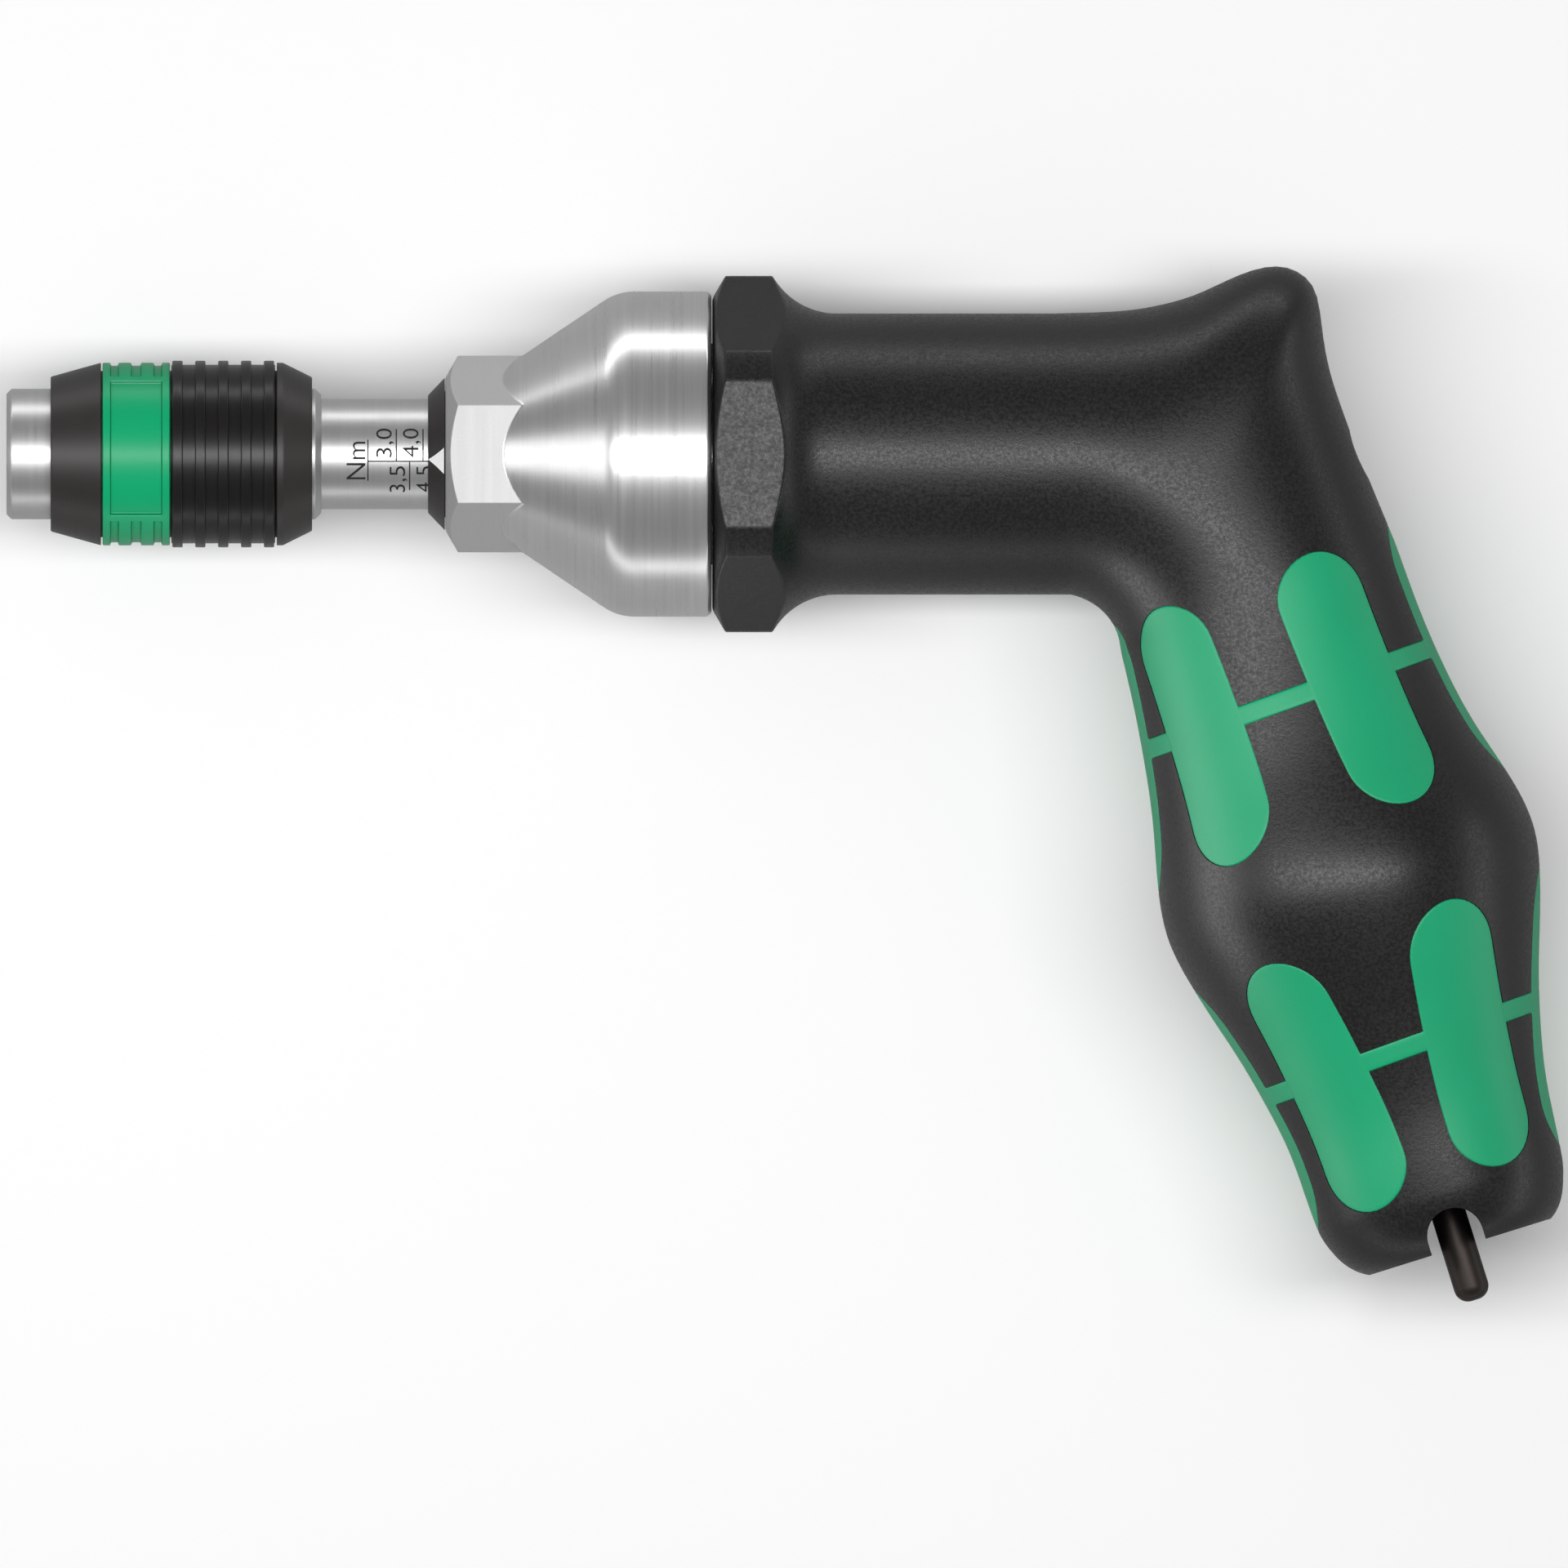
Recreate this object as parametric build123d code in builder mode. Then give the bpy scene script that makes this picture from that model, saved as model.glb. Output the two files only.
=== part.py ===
from build123d import *
from math import cos, radians, sin, tan
import os

# Adjustable torque screwdriver with a pistol grip, lying on its side, in millimetres.
# The origin is the mouth of the bit socket. X runs back along the spindle,
# the grip points towards -Y, and Z points up from the table.

# Clearances between pieces
running_clearance = 0.05
loose_clearance = 0.1

# Chuck body, the front of the spindle
nose_radius = 6.5
nose_length = 4.4
nose_chamfer = 0.5
socket_width = 6.4
socket_depth = 14.0
socket_chamfer = 0.6
magnet_radius = 3.0
magnet_length = 3.8
chuck_waist_radius = 5.4
chuck_waist_front = 17.0
chuck_waist_length = 10.5
shoulder_length = 0.9
shoulder_chamfer = 0.6

# Locking balls and their ramp in the release sleeve
locking_ball_radius = 1.75
locking_ball_place = 10.5
release_travel = 2.5
ball_travel = 0.6
ramp_slope = 0.25
ramp_floor = 1.9
ramp_lead = 0.3125

# Release sleeve and its spring
release_sleeve_radius = 7.9
release_sleeve_length = 21.1
release_sleeve_setback = 3.0
sleeve_ring_thickness = 0.8
sleeve_ring_groove = 0.55
release_wire_radius = 0.4
release_spring_turns = 6

# Rings of the chuck's outer sleeve
front_cone_length = 5.1
front_cone_small_radius = 7.7
green_ring_length = 6.85
ribbed_ring_length = 10.5
rear_cone_length = 3.6
rear_cone_rim = 0.6
rear_cone_small_radius = 7.65
ring_radius = 9.1
ring_groove_width = 0.16
ring_groove_depth = 0.8
relief_depth = 0.22
panel_width = 5.1
panel_turn = 84.5
panel_half_angle = 47.6
window_half_angle = 36.5
bar_width = 1.3
bar_spacing = 2.25
rib_count = 5
rib_width = 1.04
rib_height = 0.4
rib_margin = 0.09

# Scale shank, drive and tail of the spindle
shank_radius = 5.5
shank_exposed = 10.65
drive_width = 9.0
drive_length = 18.5
tail_radius = 4.0
tail_length = 23.0
keyway_width = 2.0
keyway_lead = 0.5
keyway_depth = 1.0
setting_travel_out = 4.8
setting_travel_in = 3.2

# Pointer ring
pointer_length = 1.67
pointer_small_radius = 5.86
pointer_large_radius = 7.6
pointer_stem_radius = 6.3
pointer_stem_length = 1.6
pointer_bead_height = 0.4
pointer_bead_width = 0.5

# Clutch housing
spanner_width = 17.0
spanner_chamfer_radius = 7.6
spanner_chamfer_angle = 60.0
cone_start = 5.76
cone_start_radius = 8.5
cone_half_angle = 34.0
housing_radius = 16.2
housing_length = 26.5
housing_blend = 5.5
housing_edge = 0.4
spigot_length = 9.8
spigot_radius = 11.0
nose_lip_length = 1.8
bush_radius = 7.0
bush_length = 12.0
clutch_bore_radius = 9.5

# Clutch plates, balls and main spring
detent_thickness = 3.0
detent_bore = 5.8
clutch_plate_thickness = 4.0
clutch_plate_gap = 1.4
clutch_ball_radius = 1.3
clutch_ball_circle = 7.65
clutch_ball_count = 6
detent_count = 12
washer_thickness = 0.8
main_wire_radius = 1.0
main_spring_radius = 7.4
main_spring_length = 24.9
main_spring_turns = 7
seat_radius = 8.6
seat_thickness = 2.5
retaining_thickness = 1.0
retaining_radius = 5.2
retaining_groove = 0.6

# Setting screw, nut and thrust ball
thrust_ball_radius = 2.5
thrust_cup_depth = 0.8
nut_width = 12.9
nut_length = 14.5
nut_wall = 2.0
thread_radius = 3.0
collar_radius = 6.0
collar_thickness = 2.0
screw_washer_thickness = 0.7
screw_head_radius = 3.5
screw_head_length = 3.7
key_hexagon = 3.0
key_socket_depth = 2.8

# Insert moulded into the handle
insert_flange_radius = 14.0
insert_flange_length = 3.0
insert_front_radius = 12.3
insert_back_radius = 10.5
insert_back_wall = 3.5
spring_bore_radius = 9.0

# Handle: hexagon flange and tube
flange_width = 32.3
flange_corner_radius = 17.75
flange_front_radius = 15.5
flange_front_chamfer = 1.3
flange_length = 4.7
flare_length = 6.4
tube_radius = 14.0
tube_length = 23.3

# Handle: elbow with the hump, and the grip, as a fan of sections about the crotch
crotch_front = 7.1
crotch_back = 5.2
grip_tilt = 17.3
elbow_steps = 24
hump_front = ((90, 0.0), (80, 1.0), (72, 3.9), (66, 8.1), (62, 10.1))
hump_back = ((60, 10.4), (57, 9.7), (52, 6.4), (45, 3.0), (36, 0.9), (27, 0.0))
grip_top_radius = 14.7
bulge_radius = 19.1
butt_radius = 11.9
grip_length = 66.8
bulge_rise = ((0.075, 0.09), (0.17, 0.26), (0.25, 0.47), (0.32, 0.77), (0.38, 0.97), (0.44, 1.0))
bulge_fall = ((0.50, 0.90), (0.57, 0.68), (0.64, 0.47), (0.71, 0.295), (0.79, 0.15), (0.88, 0.06))
butt_edge = 3.4

# Soft inlays of the grip; a side pad has its angle about the grip and its turn in its own plane
inlay_depth = 1.2
pad_length = 26.8
pad_width = 9.7
band_width = 2.0
row_tilt = 2.5
upper_row_middle = 10.0
upper_band_middle = 9.6
upper_side_pads = ((63.5, 0.0), (127.5, 5.0))
lower_row_middle = 47.2
lower_band_middle = 46.3
lower_side_pads = ((60.0, 0.0), (124.0, -0.7))

# Setting key and its place in the butt
key_radius = 1.75
key_end_rounding = 1.4
access_radius = 2.45
key_length = 64.3
key_hexagon_length = 12.0
key_overhang = 5.5
key_offset = -0.2
key_bore_depth = 60.8
notch_width = 5.6
notch_depth = 4.0
key_ring_wire = 0.9
key_ring_setback = 3.0

# Places along the spindle
green_front = nose_length + front_cone_length
ribbed_front = green_front + green_ring_length
rear_cone_front = ribbed_front + ribbed_ring_length
sleeve_back = rear_cone_front + rear_cone_length
shoulder_back = sleeve_back + shoulder_length
pointer_front = shoulder_back + shank_exposed
pointer_back = pointer_front + pointer_length
housing_front = pointer_back + running_clearance
housing_back = housing_front + housing_length
spigot_back = housing_back + spigot_length
bush_front = housing_front + nose_lip_length
detent_front = bush_front + bush_length + loose_clearance
detent_back = detent_front + detent_thickness
clutch_plate_front = detent_back + clutch_plate_gap
clutch_plate_back = clutch_plate_front + clutch_plate_thickness
clutch_ball_place = (detent_back + clutch_plate_front) / 2
spring_front = clutch_plate_back + washer_thickness
spring_back = spring_front + main_spring_length
seat_back = spring_back + seat_thickness
shank_back = detent_front - 2 * loose_clearance
drive_back = shank_back + drive_length
tail_back = drive_back + tail_length
thrust_ball_place = tail_back + thrust_ball_radius - thrust_cup_depth
nut_front = thrust_ball_place + thrust_ball_radius - thrust_cup_depth
nut_back = nut_front + nut_length
collar_front = nut_back + setting_travel_in + 2 * loose_clearance
collar_back = collar_front + collar_thickness
insert_wall_front = collar_back + screw_washer_thickness
insert_back = insert_wall_front + insert_back_wall
handle_front = housing_back + loose_clearance
tube_back = handle_front + flange_front_chamfer + flange_length + flare_length + tube_length
release_front = nose_length + release_sleeve_setback
release_back = release_front + release_sleeve_length
chuck_waist_back = chuck_waist_front + chuck_waist_length

# The grip's own directions, down the grip and to its back, and the crotch that the elbow turns about
grip_down = Vector(sin(radians(grip_tilt)), -cos(radians(grip_tilt)), 0)
grip_rear = Vector(cos(radians(grip_tilt)), sin(radians(grip_tilt)), 0)
crotch = Vector(tube_back, -tube_radius - crotch_front, 0)
grip_top = crotch + grip_rear * (crotch_back + grip_top_radius)


def grip_plane(distance, shift=0.0):
    """The plane across the grip at a distance below its top, with its origin shifted to the rear."""
    return Plane(
        origin=grip_top + grip_down * distance + grip_rear * shift,
        x_dir=grip_rear,
        z_dir=grip_down,
    )


def egg(plane, inner, outer, half_width):
    """A section of two half ellipses that meet at its widest line."""
    with BuildSketch(plane) as section:
        with BuildLine():
            EllipticalCenterArc((0, 0), outer, half_width, start_angle=-90, arc_size=180)
            EllipticalCenterArc((0, 0), inner, half_width, start_angle=90, arc_size=180)
        make_face()
    return section.sketch


def hump_rise(angle):
    """How far the hump stands out of the elbow at an angle about the crotch."""
    hump = (*hump_front, *hump_back)
    for (above, rise_above), (below, rise_below) in zip(hump, hump[1:]):
        if below <= angle <= above:
            return rise_below + (rise_above - rise_below) * (angle - below) / (above - below)
    return 0.0


def elbow_sections(inset):
    """Sections that turn from the tube to the top of the grip, drawn in by the inset."""
    sections = []
    for step in range(elbow_steps + 1):
        share = step / elbow_steps
        angle = 90 + (grip_tilt - 90) * share
        radius = tube_radius + (grip_top_radius - tube_radius) * share
        gap = crotch_front + (crotch_back - crotch_front) * share
        outward = Vector(cos(radians(angle)), sin(radians(angle)), 0)
        along = Vector(sin(radians(angle)), -cos(radians(angle)), 0)
        plane = Plane(origin=crotch + outward * (gap + radius), x_dir=outward, z_dir=along)
        sections.append(egg(plane, radius - inset, radius + hump_rise(angle) - inset, radius - inset))
    return sections


def elbow_and_grip(inset):
    """The elbow, and the grip turned about its own axis, drawn in by the inset."""
    profile = [(0, grip_top_radius - inset)]
    for ends, points in ((grip_top_radius, bulge_rise), (butt_radius, bulge_fall)):
        for share, rise in points:
            profile.append((share * grip_length, ends + (bulge_radius - ends) * rise - inset))
    profile.append((grip_length - butt_edge, butt_radius - inset))
    butt_corner = (grip_length, butt_radius - inset - butt_edge)
    with BuildPart() as form:
        loft(sections=elbow_sections(inset))
        with BuildSketch(Plane(origin=grip_top, x_dir=grip_down, z_dir=(0, 0, 1))):
            with BuildLine():
                Spline(*profile)
                TangentArc(profile[-1], butt_corner, tangent=(1, 0))
                Polyline(butt_corner, (grip_length, 0), (0, 0), profile[0])
            make_face()
        revolve(axis=Axis(grip_top, grip_down))
    return form.part


def coil(front, back, mean_radius, wire_radius, turns):
    """A compression spring between two planes across X, its ends ground flat."""
    with BuildPart() as spring:
        with BuildLine():
            wire = Helix((back - front) / turns, back - front, mean_radius, (front, 0, 0), (1, 0, 0))
        with BuildSketch(Plane(origin=wire @ 0, z_dir=wire % 0)):
            Circle(wire_radius)
        sweep(path=wire, is_frenet=True)
        with BuildSketch(Plane.YZ.offset(front)):
            Circle(mean_radius + 2 * wire_radius)
        extrude(amount=back - front, mode=Mode.INTERSECT)
    return spring.part


def pad_row(middle, band_middle, side_pads):
    """Round-ended bars that stand out from the grip's axis, and the band that joins them."""
    reach = bulge_radius + inlay_depth
    root = butt_radius / 2
    lean = radians(grip_tilt + row_tilt)
    down = Vector(sin(lean), -cos(lean), 0)
    rear = Vector(cos(lean), sin(lean), 0)
    with BuildPart() as row:
        band_start = grip_plane(band_middle).origin - down * (band_width / 2)
        with BuildSketch(Plane(origin=band_start, x_dir=rear, z_dir=down)):
            Circle(reach)
            Circle(root, mode=Mode.SUBTRACT)
        extrude(amount=band_width)
        bars = [(0, 0), (180, 0)]
        for angle, turn in side_pads:
            bars += [(angle, turn), (-angle, -turn)]
        for angle, turn in bars:
            outward = rear * cos(radians(angle)) + Vector(0, 0, sin(radians(angle)))
            centre = grip_plane(middle).origin + outward * root
            with BuildSketch(Plane(origin=centre, x_dir=down, z_dir=outward).rotated((0, 0, turn))):
                SlotOverall(pad_length, pad_width)
            extrude(amount=reach - root)
    return row.part


# Spindle: chuck body, scale shank, hexagon drive and tail, turned in one piece
with BuildPart() as spindle:
    with BuildSketch(Plane.XY):
        with BuildLine():
            Polyline(
                (0, 0),
                (0, nose_radius - nose_chamfer),
                (nose_chamfer, nose_radius),
                (chuck_waist_front, nose_radius),
                (chuck_waist_front, chuck_waist_radius),
                (chuck_waist_back, chuck_waist_radius),
                (chuck_waist_back, nose_radius),
                (shoulder_back - shoulder_chamfer, nose_radius),
                (shoulder_back, nose_radius - shoulder_chamfer),
                (shoulder_back, shank_radius),
                (shank_back, shank_radius),
                (shank_back, 0),
                close=True,
            )
        make_face()
    revolve(axis=Axis.X)
    with BuildSketch(Plane.YZ.offset(shank_back)):
        RegularPolygon(drive_width / 2, 6, major_radius=False)
    extrude(amount=drive_length)
    with BuildSketch(Plane.YZ.offset(drive_back)):
        Circle(tail_radius)
    extrude(amount=tail_length)
    # Bit socket with a countersunk mouth, and the magnet's bore at its bottom
    with BuildSketch(Plane.YZ):
        RegularPolygon(socket_width / 2, 6, major_radius=False)
    extrude(amount=socket_depth, mode=Mode.SUBTRACT)
    with BuildSketch(Plane.XY):
        with BuildLine():
            Polyline(
                (0, 0),
                (0, socket_width / 2 + socket_chamfer),
                (socket_chamfer, socket_width / 2),
                (socket_chamfer, 0),
                close=True,
            )
        make_face()
    revolve(axis=Axis.X, mode=Mode.SUBTRACT)
    with BuildSketch(Plane.YZ.offset(socket_depth)):
        Circle(magnet_radius)
    extrude(amount=magnet_length, mode=Mode.SUBTRACT)
    # Ball holes, each closed to a round seat that keeps the ball from falling into the socket
    seat_height = nose_radius - locking_ball_radius
    for side in (1, -1):
        seat = Plane(origin=(locking_ball_place, side * seat_height, 0), z_dir=(0, side, 0))
        with BuildSketch(seat):
            Circle(locking_ball_radius + running_clearance)
        extrude(amount=nose_radius, mode=Mode.SUBTRACT)
        with Locations(seat.origin):
            Sphere(locking_ball_radius + running_clearance, rotation=(90, 0, 0), mode=Mode.SUBTRACT)
    # Keyway for the pointer ring, along the underside of the shank
    keyway_front = pointer_front - setting_travel_in - keyway_lead
    with BuildSketch(Plane.XY.offset(-shank_radius)):
        with Locations(((keyway_front + shank_back) / 2, 0)):
            Rectangle(shank_back - keyway_front, keyway_width)
    extrude(amount=keyway_depth, mode=Mode.SUBTRACT)
    # Retaining groove and thrust cup on the tail
    with BuildSketch(Plane.YZ.offset(seat_back)):
        Circle(tail_radius)
        Circle(tail_radius - retaining_groove, mode=Mode.SUBTRACT)
    extrude(amount=retaining_thickness, mode=Mode.SUBTRACT)
    with Locations((thrust_ball_place, 0, 0)):
        Sphere(thrust_ball_radius + running_clearance, rotation=(0, 90, 0), mode=Mode.SUBTRACT)

with BuildPart() as bit_magnet:
    with BuildSketch(Plane.YZ.offset(socket_depth)):
        Circle(magnet_radius)
    extrude(amount=magnet_length)

locking_ball_rest = nose_radius - locking_ball_radius
with BuildPart() as locking_ball_upper:
    with Locations((locking_ball_place, locking_ball_rest, 0)):
        Sphere(locking_ball_radius)

with BuildPart() as locking_ball_lower:
    with Locations((locking_ball_place, -locking_ball_rest, 0)):
        Sphere(locking_ball_radius)

# Release sleeve: its bore holds the balls in, and the ramp behind them lets them out
sleeve_bore = nose_radius + running_clearance
ramp_front = locking_ball_place - ramp_lead
ramp_depth = ball_travel + loose_clearance
ramp_back = ramp_front + ramp_depth / ramp_slope
ramp_end = ramp_back + ramp_floor
with BuildPart() as release_sleeve:
    with BuildSketch(Plane.YZ.offset(release_front)):
        Circle(release_sleeve_radius)
        Circle(sleeve_bore, mode=Mode.SUBTRACT)
    extrude(amount=release_sleeve_length)
    with BuildSketch(Plane.XY):
        with BuildLine():
            Polyline(
                (ramp_front, 0),
                (ramp_front, sleeve_bore),
                (ramp_back, sleeve_bore + ramp_depth),
                (ramp_end, sleeve_bore + ramp_depth),
                (ramp_end + ramp_depth, sleeve_bore),
                (ramp_end + ramp_depth, 0),
                close=True,
            )
        make_face()
    revolve(axis=Axis.X, mode=Mode.SUBTRACT)
    with BuildSketch(Plane.YZ.offset(chuck_waist_back - sleeve_ring_thickness)):
        Circle(sleeve_bore + sleeve_ring_groove)
    extrude(amount=sleeve_ring_thickness, mode=Mode.SUBTRACT)

with BuildPart() as sleeve_ring:
    with BuildSketch(Plane.YZ.offset(chuck_waist_back - sleeve_ring_thickness)):
        Circle(sleeve_bore + sleeve_ring_groove)
        Circle(chuck_waist_radius + running_clearance, mode=Mode.SUBTRACT)
    extrude(amount=sleeve_ring_thickness)

with BuildPart() as release_spring:
    waist_gap_middle = (chuck_waist_radius + sleeve_bore) / 2
    release_spring_back = chuck_waist_back - sleeve_ring_thickness
    add(coil(chuck_waist_front, release_spring_back, waist_gap_middle, release_wire_radius, release_spring_turns))

# Outer rings: they meet face to face near their bore, with a narrow groove left outside
ring_bore = release_sleeve_radius + running_clearance
lip_bore = nose_radius + loose_clearance
half_groove = ring_groove_width / 2
groove_floor = ring_radius - ring_groove_depth
lip_back = release_front - running_clearance
with BuildPart() as front_cone:
    with BuildSketch(Plane.XY):
        with BuildLine():
            Polyline(
                (nose_length, lip_bore),
                (nose_length, front_cone_small_radius),
                (green_front - half_groove, ring_radius),
                (green_front - half_groove, groove_floor),
                (green_front, groove_floor),
                (green_front, ring_bore),
                (lip_back, ring_bore),
                (lip_back, lip_bore),
                close=True,
            )
        make_face()
    revolve(axis=Axis.X)

with BuildPart() as green_ring:
    with BuildSketch(Plane.YZ.offset(green_front)):
        Circle(groove_floor)
        Circle(ring_bore, mode=Mode.SUBTRACT)
    extrude(amount=green_ring_length)
    with BuildSketch(Plane.YZ.offset(green_front + half_groove)):
        Circle(ring_radius)
        Circle(ring_bore, mode=Mode.SUBTRACT)
    extrude(amount=green_ring_length - ring_groove_width)
    green_middle = green_front + green_ring_length / 2
    for turn in (panel_turn, panel_turn + 180):
        with BuildSketch(Plane.XY.rotated((turn - panel_half_angle, 0, 0))):
            with Locations((green_middle, ring_radius)):
                Rectangle(panel_width, 2 * relief_depth)
        revolve(axis=Axis.X, revolution_arc=2 * panel_half_angle, mode=Mode.SUBTRACT)
        with BuildSketch(Plane.XY.rotated((turn + 90 - window_half_angle, 0, 0))):
            with Locations((green_middle, ring_radius)):
                Rectangle(panel_width, 2 * relief_depth)
            with Locations((green_middle, ring_radius)):
                with GridLocations(bar_spacing, 0, 2, 1):
                    Rectangle(bar_width, 2 * relief_depth, mode=Mode.SUBTRACT)
        revolve(axis=Axis.X, revolution_arc=2 * window_half_angle, mode=Mode.SUBTRACT)

with BuildPart() as ribbed_ring:
    with BuildSketch(Plane.YZ.offset(ribbed_front)):
        Circle(groove_floor)
        Circle(ring_bore, mode=Mode.SUBTRACT)
    extrude(amount=ribbed_ring_length)
    rib_radius = ring_radius + rib_height / 2
    with BuildSketch(Plane.YZ.offset(ribbed_front + half_groove)):
        Circle(rib_radius - rib_height)
        Circle(ring_bore, mode=Mode.SUBTRACT)
    extrude(amount=ribbed_ring_length - ring_groove_width)
    first_rib = ribbed_front + half_groove + rib_margin
    last_rib = rear_cone_front - half_groove - rib_margin - rib_width
    for number in range(rib_count):
        rib_front = first_rib + (last_rib - first_rib) * number / (rib_count - 1)
        with BuildSketch(Plane.YZ.offset(rib_front)):
            Circle(rib_radius)
            Circle(ring_bore, mode=Mode.SUBTRACT)
        extrude(amount=rib_width)

with BuildPart() as rear_cone:
    with BuildSketch(Plane.XY):
        with BuildLine():
            Polyline(
                (rear_cone_front, ring_bore),
                (rear_cone_front, groove_floor),
                (rear_cone_front + half_groove, groove_floor),
                (rear_cone_front + half_groove, ring_radius),
                (rear_cone_front + half_groove + rear_cone_rim, ring_radius),
                (sleeve_back, rear_cone_small_radius),
                (sleeve_back, lip_bore),
                (release_back + running_clearance, lip_bore),
                (release_back + running_clearance, ring_bore),
                close=True,
            )
        make_face()
    revolve(axis=Axis.X)

# Pointer ring, keyed to the shank and snapped into the housing's nose
pointer_bore = shank_radius + running_clearance
stem_back = pointer_back + pointer_stem_length
bead_back = stem_back - loose_clearance
bead_front = bead_back - pointer_bead_width
with BuildPart() as pointer_ring:
    with BuildSketch(Plane.XY):
        with BuildLine():
            Polyline(
                (pointer_front, pointer_bore),
                (pointer_front, pointer_small_radius),
                (pointer_back, pointer_large_radius),
                (pointer_back, pointer_stem_radius),
                (bead_front, pointer_stem_radius),
                (bead_front, pointer_stem_radius + pointer_bead_height),
                (bead_back, pointer_stem_radius + pointer_bead_height),
                (stem_back, pointer_stem_radius),
                (stem_back, pointer_bore),
                close=True,
            )
        make_face()
    revolve(axis=Axis.X)
    key_foot = shank_radius - keyway_depth + running_clearance
    with BuildSketch(Plane.YZ.offset(pointer_front)):
        with Locations((0, -(key_foot + pointer_small_radius) / 2)):
            Rectangle(keyway_width - 2 * running_clearance, pointer_small_radius - key_foot)
    extrude(amount=stem_back - pointer_front)

# Clutch housing: spanner hexagon, cone and cylinder, with the spigot that screws into the insert
with BuildPart() as housing:
    chamfer_rise = spanner_width - spanner_chamfer_radius
    with BuildSketch(Plane.YZ.offset(housing_front)):
        RegularPolygon(spanner_width / 2, 6, major_radius=False)
    extrude(amount=cone_start + nose_lip_length)
    with BuildSketch(Plane.XY):
        with BuildLine():
            Polyline(
                (housing_front, 0),
                (housing_front, spanner_chamfer_radius),
                (housing_front + chamfer_rise / tan(radians(spanner_chamfer_angle)), spanner_width),
                (housing_back, spanner_width),
                (housing_back, 0),
                close=True,
            )
        make_face()
    revolve(axis=Axis.X, mode=Mode.INTERSECT)
    cone_foot = housing_front + cone_start
    cone_back = cone_foot + (housing_radius - cone_start_radius) / tan(radians(cone_half_angle))
    with BuildSketch(Plane.XY):
        with BuildLine() as outline:
            Polyline(
                (cone_foot, 0),
                (cone_foot, cone_start_radius),
                (cone_back, housing_radius),
                (housing_back, housing_radius),
                (housing_back, 0),
                close=True,
            )
            fillet(outline.vertices().sort_by_distance((cone_back, housing_radius))[0], housing_blend)
            chamfer(outline.vertices().sort_by_distance((housing_back, housing_radius))[0], housing_edge)
        make_face()
    revolve(axis=Axis.X)
    with BuildSketch(Plane.YZ.offset(housing_back)):
        Circle(spigot_radius)
    extrude(amount=spigot_length)
    with BuildSketch(Plane.XY):
        with BuildLine():
            Polyline(
                (housing_front, 0),
                (housing_front, pointer_stem_radius + running_clearance),
                (bead_front - loose_clearance, pointer_stem_radius + running_clearance),
                (bead_front - loose_clearance, pointer_stem_radius + pointer_bead_height + running_clearance),
                (bead_back + loose_clearance, pointer_stem_radius + pointer_bead_height + running_clearance),
                (bead_back + loose_clearance, pointer_stem_radius + running_clearance),
                (bush_front, pointer_stem_radius + running_clearance),
                (bush_front, bush_radius),
                (detent_front, bush_radius),
                (detent_front, clutch_bore_radius),
                (spigot_back, clutch_bore_radius),
                (spigot_back, 0),
                close=True,
            )
        make_face()
    revolve(axis=Axis.X, mode=Mode.SUBTRACT)

with BuildPart() as spindle_bush:
    with BuildSketch(Plane.YZ.offset(bush_front)):
        Circle(bush_radius)
        Circle(shank_radius + running_clearance, mode=Mode.SUBTRACT)
    extrude(amount=bush_length)

# Detent plate with a ring of pockets on its back face
with BuildPart(Plane.YZ.offset(clutch_ball_place)) as detent_plate:
    with BuildSketch(Plane.YZ.offset(detent_front)):
        Circle(clutch_bore_radius)
        Circle(detent_bore, mode=Mode.SUBTRACT)
    extrude(amount=detent_thickness)
    with PolarLocations(clutch_ball_circle, detent_count):
        Sphere(clutch_ball_radius + running_clearance, mode=Mode.SUBTRACT)

with BuildPart(Plane.YZ.offset(clutch_ball_place)) as clutch_balls:
    with PolarLocations(clutch_ball_circle, clutch_ball_count):
        Sphere(clutch_ball_radius)

# Clutch plate, driven by the spindle's hexagon, with a pocket for each ball
with BuildPart(Plane.YZ.offset(clutch_ball_place)) as clutch_plate:
    with BuildSketch(Plane.YZ.offset(clutch_plate_front)):
        Circle(clutch_bore_radius - 2 * loose_clearance)
        RegularPolygon(drive_width / 2 + running_clearance, 6, major_radius=False, mode=Mode.SUBTRACT)
    extrude(amount=clutch_plate_thickness)
    with PolarLocations(clutch_ball_circle, clutch_ball_count):
        Sphere(clutch_ball_radius + running_clearance, mode=Mode.SUBTRACT)

with BuildPart() as spring_washer:
    with BuildSketch(Plane.YZ.offset(clutch_plate_back)):
        Circle(seat_radius)
        Circle(shank_radius + loose_clearance, mode=Mode.SUBTRACT)
    extrude(amount=washer_thickness)

with BuildPart() as main_spring:
    add(coil(spring_front, spring_back, main_spring_radius, main_wire_radius, main_spring_turns))

with BuildPart() as spring_seat:
    with BuildSketch(Plane.YZ.offset(spring_back)):
        Circle(seat_radius)
        Circle(tail_radius + running_clearance, mode=Mode.SUBTRACT)
    extrude(amount=seat_thickness)

with BuildPart() as seat_ring:
    with BuildSketch(Plane.YZ.offset(seat_back)):
        Circle(retaining_radius)
        Circle(tail_radius - retaining_groove, mode=Mode.SUBTRACT)
    extrude(amount=retaining_thickness)

with BuildPart() as thrust_ball:
    with Locations((thrust_ball_place, 0, 0)):
        Sphere(thrust_ball_radius)

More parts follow.
